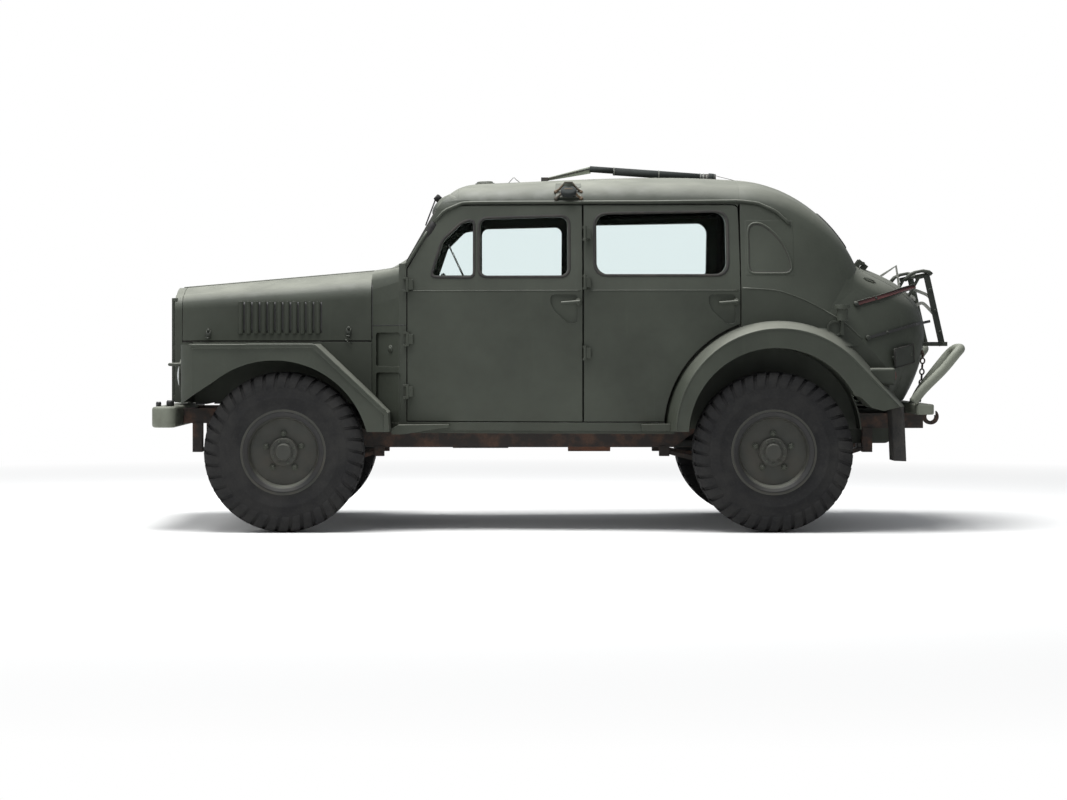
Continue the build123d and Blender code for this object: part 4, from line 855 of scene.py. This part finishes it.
def tail_blend():
    """The soft hollow where the back of the cabin runs into the boot's flank."""
    spots = Skin("quarter_left").net((1.42, 1.02), (1.84, 1.445), 56, 50, -0.44)
    reach = 9
    sheet = {}
    for (column, row), place in spots.items():
        total = 0.0
        weight = 0.0
        for step in range(-reach, reach + 1):
            if (column + step, row) in spots and (column - step, row) in spots:
                share = reach + 1 - abs(step)
                total += share * spots[column + step, row].y
                weight += share
        y = min(total / weight, place.y)
        tucked = 0.0012 if place.y - y < 0.0004 else 0.0
        sheet[column, row] = Vector((place.x, y + tucked, place.z))
    pair("tail_blend", patch(sheet, 0.045))


def hood_trim():
    """Dark strips in the louvres' slots as painted shade, and the latches on the hood's side."""
    skin = Skin("hood_left")
    columns = [louvre_start + index * louvre_pitch for index in range(louvre_count)]
    # Black strips laid in each louvre slot: painted shade where the slot looks dark
    slot_shades = [skin.strip([(x, 1.096), (x, 1.268)], 0.0045, -0.002, 0.001) for x in columns]
    pair("louvre_slot_shade", slot_shades, "radiator", "hood_left")
    latches = []
    across = Vector((0.012, 0, 0))
    for x, z in ((-1.981, 1.078), (-1.179, 1.09)):
        top, normal = skin.at("left", x, z + 0.03, 0.004)
        low, _ = skin.at("left", x, z - 0.014, 0.016)
        latches += [sweep([top + normal * 0.001, low], flat_bar(0.013, -0.003, 0.003), normal),
                    bolt(top, normal, 0.01, 0.012, 12), bar([low - across, low + across], 0.005)]
    pair("hood_latches", latches, "chassis", "hood_left", "dark_green")
    low, _ = skin.at("left", -1.179, 1.078, 0.01)
    stay = [low, low + Vector((0.018, -0.004, -0.048)), low + Vector((-0.02, -0.002, -0.02))]
    pair("latch_stay", bar(stay, 0.0028, 8), "chassis", "hood_left", "dark_green")


def screen_trim():
    """Rubber round both windscreen panes and the rear window, and a wiper over each pane."""
    skin = Skin("cowl_panel", "fixed_glass")
    corners = [(-0.017, 1.501), (-0.57, 1.501), (-0.529, 1.784), (-0.017, 1.784)]
    pair("screen_rubber", skin.rim("front", corners, 0.04, oval(0.01, 0.006)), "rubber")
    pivot, normal = skin.at("front", -0.3, 1.835, 0.034)
    middle, _ = skin.at("front", -0.292, 1.69, 0.03)
    low, _ = skin.at("front", -0.285, 1.545, 0.012)
    high, _ = skin.at("front", -0.3, 1.765, 0.012)
    blade = [high, (high + low) / 2 + normal * 0.004, low]
    pair("wiper", [bolt(pivot - normal * 0.012, normal, 0.02, 0.03, 16), bar([pivot + normal * 0.012, middle], 0.004),
                   sweep(blade, flat_bar(0.003, -0.01, 0.006), normal)], "rubber")
    skin = Skin("quarter_left", "quarter_right", "fixed_glass")
    corners = [(-0.34, 1.583), (0.34, 1.583), (0.3, 1.769), (-0.3, 1.769)]
    single("rear_window_rubber", skin.rim("behind", corners, 0.052, oval(0.01, 0.006)), "rubber")


def door_seals():
    """A rubber seal inside the gap round the doors, which stays on the body."""
    path = [(-0.845, 0.602), (-0.845, 1.447), (-0.76, 1.59), (-0.7, 1.7), (-0.628, 1.768), (-0.545, 1.803),
            (0.997, 1.803), (0.997, 1.14), (0.85, 1.066), (0.735, 0.962), (0.655, 0.85), (0.607, 0.74),
            (0.583, 0.602)]
    middle = Vector((0.15, 1.2))
    skin = Skin("cowl_panel", "roof_panel", "quarter_left", "sills")
    points = []
    side = -0.7
    for spot in evenly(path, 0.03, True):
        outside = spot + (spot - middle).normalized() * 0.016
        place, _ = skin.hit("inside", outside.x, outside.y)
        if place is not None and place.y < -0.45:
            side = place.y
        points.append((spot.x, side + 0.004, spot.y))
    pair("door_seal", sweep(points, flat_bar(0.017, -0.003, 0.003), (0, 1, 0), True), "rubber")


def roof_trim():
    """The roof's low vent, its wire hook and the aerial's arm, sleeve, ties and stay."""
    skin = Skin("roof_panel", "cowl_panel")
    place, normal = skin.at("above", -0.415, 0.0)
    single("roof_vent", [bolt(place, normal, 0.056, 0.01, 28), bolt(place + normal * 0.008, normal, 0.046, 0.01, 28)])
    low, _ = skin.at("above", -0.282, 0.0)
    far, _ = skin.at("above", -0.209, 0.0)
    hook = bar([low, (-0.252, 0, 1.993), (-0.243, 0, 1.994), (-0.236, 0, 1.984), far], 0.0022)
    single("roof_hook", hook, "chassis", material="worn_metal")
    corners = [(x, -0.005, z) for x, z in ((-0.09, 1.985), (0.193, 2.058), (0.197, 2.019), (-0.08, 1.972))]
    single("aerial_arm", plate(corners, 0.01, (0, 1, 0)), material="pale_green", smooth=False)
    along = Vector((0.715, 0, -0.0505)).normalized()
    start = Vector((0.192, 0, 2.044))
    lower = start + Vector((0, 0, -0.004))
    sleeve = [sweep([start, start + along * 0.15], oval(0.0175, 0.018, 20), (0, 0, 1)),
              sweep([lower + along * 0.135, lower + along * 0.64], oval(0.02, 0.0225, 20), (0, 0, 1)),
              bolt(start + along * 0.69, along, 0.0245, 0.034, 24)]
    single("aerial_sleeve", sleeve, "black_plastic", material="sleeve_black")
    ties = []
    for reach in (0.14, 0.4, 0.64, 0.66):
        middle = start + along * reach + Vector((0, 0, -0.003))
        rim = ring(middle, (0, 0.0225, 0), (0, 0, 0.0245), 24)
        ties.append(sweep(rim, oval(0.0026, 0.0016, 8), (1, 0, 0), True))
    skin = Skin("roof_panel", "quarter_left", "quarter_right")
    for x in (0.846, 0.868):
        foot, _ = skin.at("above", x, -0.03)
        ties.append(bar([(x, -0.024, 2.01), foot], 0.0016, 8))
    single("aerial_ties", ties, "chassis", material="pale_metal")
    end, _ = skin.at("above", 1.045, 0.0001, 0.001)
    stay = bar([(0.918, 0, 2.006), (0.94, 0, 2.0), end], 0.0018, 8)
    single("aerial_stay", stay, "chassis", material="worn_metal")


def aerial_base_trim():
    """The clamp arches, their bolts and the dome on the aerial base at the roof's edge."""
    x, y, z = 0.052, -0.64, 1.922
    half = [(0.07, -0.006, -0.046), (0.05, -0.008, -0.03), (0.018, -0.012, 0.006)]
    clamps = []
    for reach, drop in ((0.0, 0.0), (0.034, -0.038)):
        arch = [(x + side * a, y + b - reach, z + c + drop)
                for side, line in ((-1, half), (1, half[::-1])) for a, b, c in line]
        clamps.append(bar(arch, 0.0065))
        for side in (-1, 1):
            foot = (x + side * 0.07, y - 0.002 - reach, z - 0.05 + drop)
            clamps.append(bolt(foot, (0, -0.7, 0.7), 0.011, 0.014))
    dome = bolt((x, y - 0.034, z - 0.052), (0, -0.6, 0.8), 0.044, 0.026, 28)
    single("aerial_dome", dome, "black_plastic", material="sleeve_black")
    single("aerial_clamp", clamps, "chassis", material="clamp_brown")


def side_trim():
    """The cowl's boss, the bead round the flare and the plates behind the door handles."""
    place, normal = Skin("cowl_panel").at("left", -0.939, 1.004)
    pair("cowl_boss", [bolt(place, normal, 0.021, 0.005, 24), bolt(place, normal, 0.012, 0.009, 12)])
    reach_x, reach_z = flare_tip[0] - flare_x, flare_tip[1] - flare_z
    begin = pi * 0.997
    leave = atan2(reach_z, reach_x) + acos(flare_radius / hypot(reach_x, reach_z))
    centre = (flare_x, flare_y, flare_z)
    crest = [beside(centre, flare_radius, 0, turn) for turn in numpy.linspace(begin, leave, 61)]
    tip = Vector((flare_tip[0], flare_y, flare_tip[1]))
    crest += [crest[-1].lerp(tip, 0.5), tip]
    pair("flare_bead", sweep(crest, oval(0.0055, 0.0055, 10), (0, 1, 0)))
    for door, x in (("door_front_left", 0.104), ("door_rear_left", 0.973)):
        place, _ = Skin(door).at("left", x + 0.002, handle_z + 0.024)
        rose = bolt((x, place.y + 0.004, handle_z), (0, -1, 0), 0.019, 0.012, 24)
        pair(f"{door[:-5]}_rose", rose, body=door)


def straps():
    """The two taut straps from the boot's left flank to the rack's side, and their frames."""
    skin = Skin("quarter_left")
    for name, start, end, far, wide, shifts, finish in (
            ("upper", (1.64, 1.25), (1.935, 1.333), (2.018, -0.342, 1.355), 0.0105, (-0.012, 0.012), "strap_red"),
            ("lower", (1.698, 1.063), (1.985, 1.14), (2.103, -0.342, 1.16), 0.0075, (), "strap_dark")):
        line = numpy.linspace(start, end, 21)
        points, normals = skin.along("left", line, -0.435)
        points = [place + normal * 0.003 for place, normal in zip(points, normals)] + [Vector(far)]
        normals.append(normals[-1])
        strap = sweep(points, flat_bar(wide, -0.001, 0.007), normals)
        single(f"strap_{name}", strap, "seat", material=finish, smooth=False)
        edges = [sweep([point + Vector((0, 0, shift)) for point in points], flat_bar(0.0016, -0.001, 0.008), normals)
                 for shift in shifts]
        edges += [bolt(points[index] + normals[index] * 0.004, normals[index], radius, height, 12)
                  for index, radius, height in ((0, 0.014, 0.009), (8, 0.007, 0.007))]
        single(f"strap_{name}_frame", edges, "chassis", material="dark_green")


def flank_fittings():
    """The slot handles, the blank plate in its border, and the tail lamps' lenses."""
    skin = Skin("quarter_left")
    place, normal = skin.at("left", 1.731, 1.387)
    along = (Vector((1, 0, 0)) - normal * normal.x).normalized()
    rise = along.cross(normal).normalized()
    rim = ring(place + normal * 0.003, along * 0.036, rise * 0.011, 20)
    grip = place + normal * 0.006
    pair("slot_handle", [sweep(rim, oval(0.003, 0.003, 8), normal, True),
                         bar([grip - along * 0.026, grip + along * 0.026], 0.003)])
    place, normal = skin.at("left", 1.902, 0.966)
    level = Vector((0, 0, 1)).cross(normal).normalized()
    rise = normal.cross(level).normalized()
    tilt = radians(9 if level.x > 0 else -9)
    level, rise = level * cos(tilt) + rise * sin(tilt), rise * cos(tilt) - level * sin(tilt)
    corners = [place + normal * 0.012 + level * (u * 0.088) + rise * (v * 0.052) for u, v in corner_signs]
    feet = [bolt(place - normal * 0.002 + level * u, normal, 0.01, 0.026, 12) for u in (-0.07, 0.07)]
    single("blank_plate", [plate(corners, 0.01, normal), *feet], material="dark_green", smooth=False)
    line = [point + normal * 0.01 for point in evenly(corners, 0.02, True)]
    single("plate_border", sweep(line, oval(0.004, 0.004, 8), normal, True), "rubber")
    pair("tail_lens", bolt((1.8445, -0.785, 0.856), (1, 0, 0), 0.03, 0.005, 28), material="red_lens")


def rack_trim():
    """The rack's side rails, top caps and handles."""
    def rack_x(z):
        return rack_foot_x + rack_lean * (z - rack_foot_z)

    caps = []
    rails = []
    handles = []
    lid = Skin("boot_lid")
    for hand in (-1, 1):
        y = hand * 0.3
        arch = [(x, y, z) for x, z in ((1.972, 1.392), (2.0, 1.424), (2.03, 1.438), (2.072, 1.446),
                                       (2.106, 1.44), (2.122, 1.426))]
        caps.append(sweep(arch, flat_bar(0.026, -0.008, 0.01), (0, 0, 1)))
        rail = [(2.182, y + hand * 0.01, 1.022), (2.092, y + hand * 0.01, 1.425)]
        rails.append(sweep(rail, flat_bar(0.017, -0.007, 0.007), (0, 1, 0)))
        rails += [bolt((rack_x(z), y + hand * 0.016, z), (0, hand, 0), 0.009, 0.01) for z in (1.1, 1.22, 1.34)]
        for z, drop in ((1.333, 0.043), (1.252, 0.056)):
            start, _ = lid.hit("behind", hand * 0.262, z)
            x = rack_x(z - drop)
            arc = smooth_line([start, (start.x + 0.035, hand * 0.272, z + 0.012),
                               (x - 0.03, hand * 0.285, z - drop * 0.45), (x - 0.004, hand * 0.292, z - drop)], 5)
            handles.append(sweep(arc, flat_bar(0.005, -0.009, 0.009), (0, 0, 1)))
    single("rack_rails", rails, body="boot_lid", material="dark_green", smooth=False)
    left_foot, _ = lid.hit("above", 1.862, -0.1)
    right_foot, _ = lid.hit("above", 1.968, -0.1)
    bracket = [left_foot, (1.95, -0.1, 1.4805), right_foot]
    handles.append(sweep(bracket, flat_bar(0.007, -0.005, 0.005), (0, 1, 0)))
    single("rack_handles", handles, body="boot_lid", material="pale_metal", smooth=False)
    single("rack_caps", caps, body="boot_lid")


def lamp_trim():
    """Headlamp lens, ribbed in rings, and its rim."""
    centre = Vector((-1.96, -0.62, 0.856))
    lens_radius = 0.0825
    ball_radius = 0.1626
    rows = []
    for step, radius in enumerate(numpy.linspace(0, lens_radius, 11)):
        reach = sqrt(ball_radius ** 2 - radius ** 2) + (0.0006 if step % 2 else 0)
        rows.append(ring(centre - Vector((reach, 0, 0)), (0, radius, 0), (0, 0, radius), 40))
    pair("headlamp_lens", stack(rows, first=False, last=False), "lamp", material="lamp_lens")
    pair("headlamp_rim", hoop((-2.1, centre.y, centre.z), 0.086, oval(0.006, 0.006, 10), 48), "lamp")


def chassis_trim():
    """U-bolts and plates that clamp the springs, and the bumpers' bolts."""
    shapes = []
    u_bolt = [(-0.034, 0.318), (-0.034, 0.486), (-0.026, 0.496), (0.026, 0.496), (0.034, 0.486), (0.034, 0.318)]
    for axle in (front_axle_x, rear_axle_x):
        for x in (axle - 0.042, axle + 0.042):
            shapes.append(bar([(x, -spring_y + side, z) for side, z in u_bolt], 0.006))
            shapes += [bolt((x, -spring_y + side, 0.324), (0, 0, -1), 0.011, 0.012) for side in (-0.034, 0.034)]
        corners = [(axle + a * 0.06, -spring_y + b * 0.046, 0.335) for a, b in corner_signs]
        shapes.append(plate(corners, 0.01, (0, 0, -1)))
        for reach in (-0.3, 0.28):
            z = 0.372 + 0.06 * (reach / 0.5) ** 2
            corners = [(axle + reach + a * 0.012, -spring_y - 0.0255, z + b * 0.034) for a, b in corner_signs]
            shapes.append(plate(corners, 0.051, (0, 1, 0)))
    pair("spring_clamps", shapes, "chassis")
    bolts = [bolt((x, -y, z), (copysign(1, x), 0, 0), 0.012, 0.01)
             for x, heights in ((-2.249, (0.6, 0.655)), (2.059, (0.66, 0.685)))
             for y in (0.345, 0.4) for z in heights]
    pair("bumper_bolts", bolts)


def cabin_trim():
    """Dials, the gear levers, window winders and the stay behind the vent window."""
    rims = []
    dial_faces = []
    for y, z, size in ((-0.33, 1.345, 0.052), (-0.22, 1.35, 0.03), (-0.44, 1.35, 0.03)):
        middle = (-0.757, y, z)
        rims.append(hoop(middle, size, oval(0.004, 0.005, 8), 36))
        rims.append(bar([middle, (-0.757, y + size * 0.5, z + size * 0.6)], 0.0012, 6))
        dial_faces.append(bolt((-0.7605, y, z), (1, 0, 0), size, 0.002, 32))
    single("dial_rims", rims, "black_plastic")
    single("dial_faces", dial_faces, "black_plastic", material="dial_white")
    levers = [bar([(-0.575, -0.03, 0.788), (-0.56, -0.03, 0.9), (-0.48, -0.05, 1.08)], 0.007),
              bolt((-0.484, -0.049, 1.07), (0.4, -0.1, 0.9), 0.018, 0.034, 16),
              bar([(-0.575, 0.07, 0.788), (-0.555, 0.07, 0.98)], 0.006),
              bolt((-0.556, 0.07, 0.972), (0.1, 0, 1), 0.014, 0.026, 16)]
    single("gear_levers", levers, "black_plastic")
    inward = Vector((0, 1, 0))
    for door, x in (("door_front_left", -0.3), ("door_rear_left", 0.5)):
        place, _ = Skin(door).hit("inside", x, 1.22)
        knob = place + inward * 0.024 + Vector((0.075, 0, -0.045))
        winder = [bolt(place, inward, 0.026, 0.016, 20), bar([place + inward * 0.018, knob], 0.006),
                  bolt(knob, inward, 0.011, 0.032, 14)]
        pair(f"{door[:-5]}_winder", winder, "black_plastic", door)
    top, _ = Skin("door_front_left").hit("left", -0.655, 1.64)
    stay = bar([(-0.614, top.y + 0.04, 1.583), (-0.532, top.y + 0.016, 1.408)], 0.005)
    pair("vent_stay", stay, "black_plastic", "door_front_left", "worn_metal")


# Seats
def cushion(name, node, low, high, lean, channels):
    """A stuffed seat pad inside a box, sewn in channels; lean shifts its top backward."""
    low = Vector(low)
    size = Vector(high) - low
    thick = size.x - lean
    across_count, along_count = 22, 16
    points = []
    for side in (-1, 1):
        for i in range(across_count + 1):
            u = i / across_count * 2 - 1
            y = low.y + size.y * i / across_count
            sewn = sum(exp(-((u - channel / channels * 2 + 1) * 24) ** 2) for channel in range(1, channels))
            for j in range(along_count + 1):
                along = j / along_count
                v = along * 2 - 1
                edge = (1 - abs(u) ** 6) * (1 - abs(v) ** 6)
                pull = 0.97 if (u * v) ** 2 < 0.2 else 1.0
                depth = side * 0.5 * edge ** 0.45 * (1 - 0.16 * min(1, sewn)) * pull
                if size.z > size.x:
                    points.append((low.x + thick * (1 + depth) / 2 + lean * along, y, low.z + size.z * along))
                else:
                    points.append((low.x + size.x * along, y, low.z + size.z * (0.5 + depth)))
    row = along_count + 1
    layer = (across_count + 1) * row
    corners = [face * layer + i * row + j for face in (0, 1) for i in range(across_count) for j in range(along_count)]
    faces = [(a, a + 1, a + row + 1, a + row) for a in corners]
    rim = [i * row for i in range(across_count + 1)]
    rim += [across_count * row + j for j in range(1, row)]
    rim += [i * row + along_count for i in range(across_count - 1, -1, -1)]
    rim += list(range(along_count - 1, 0, -1))
    faces += [(a, b, b + layer, a + layer) for a, b in zip(rim, rim[1:] + rim[:1])]
    piece = single(name, (points, faces), "seat")
    subdivide = piece.modifiers.new("round", "SUBSURF")
    subdivide.levels = 1
    subdivide.render_levels = 1
    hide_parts(node)


def make_seats():
    for side, y1, y2 in (("left", -0.562, -0.108), ("right", 0.108, 0.562)):
        cushion(f"front_cushion_{side}", "front_seats", (-0.268, y1, 0.802), (0.208, y2, 0.929), 0, 5)
        cushion(f"front_back_{side}", "front_seats", (0.152, y1, 0.935), (0.35, y2, 1.378), 0.09, 5)
    cushion("rear_cushion", "rear_seat", (0.482, -0.578, 0.762), (0.958, 0.578, 0.899), 0, 10)
    cushion("rear_back", "rear_seat", (0.907, -0.578, 0.905), (1.128, 0.578, 1.358), 0.095, 10)


for step in (place_camera, light_scene, dress_nodes, make_floor, make_wheels, window_rubbers, roof_rail, bumpers,
             cowl_fillet, wing_beads, hood_seat, quarter_blind, creases, tail_blend, hood_trim, screen_trim,
             door_seals, roof_trim, aerial_base_trim, side_trim, straps, flank_fittings, rack_trim, lamp_trim,
             chassis_trim, cabin_trim, make_seats):
    step()
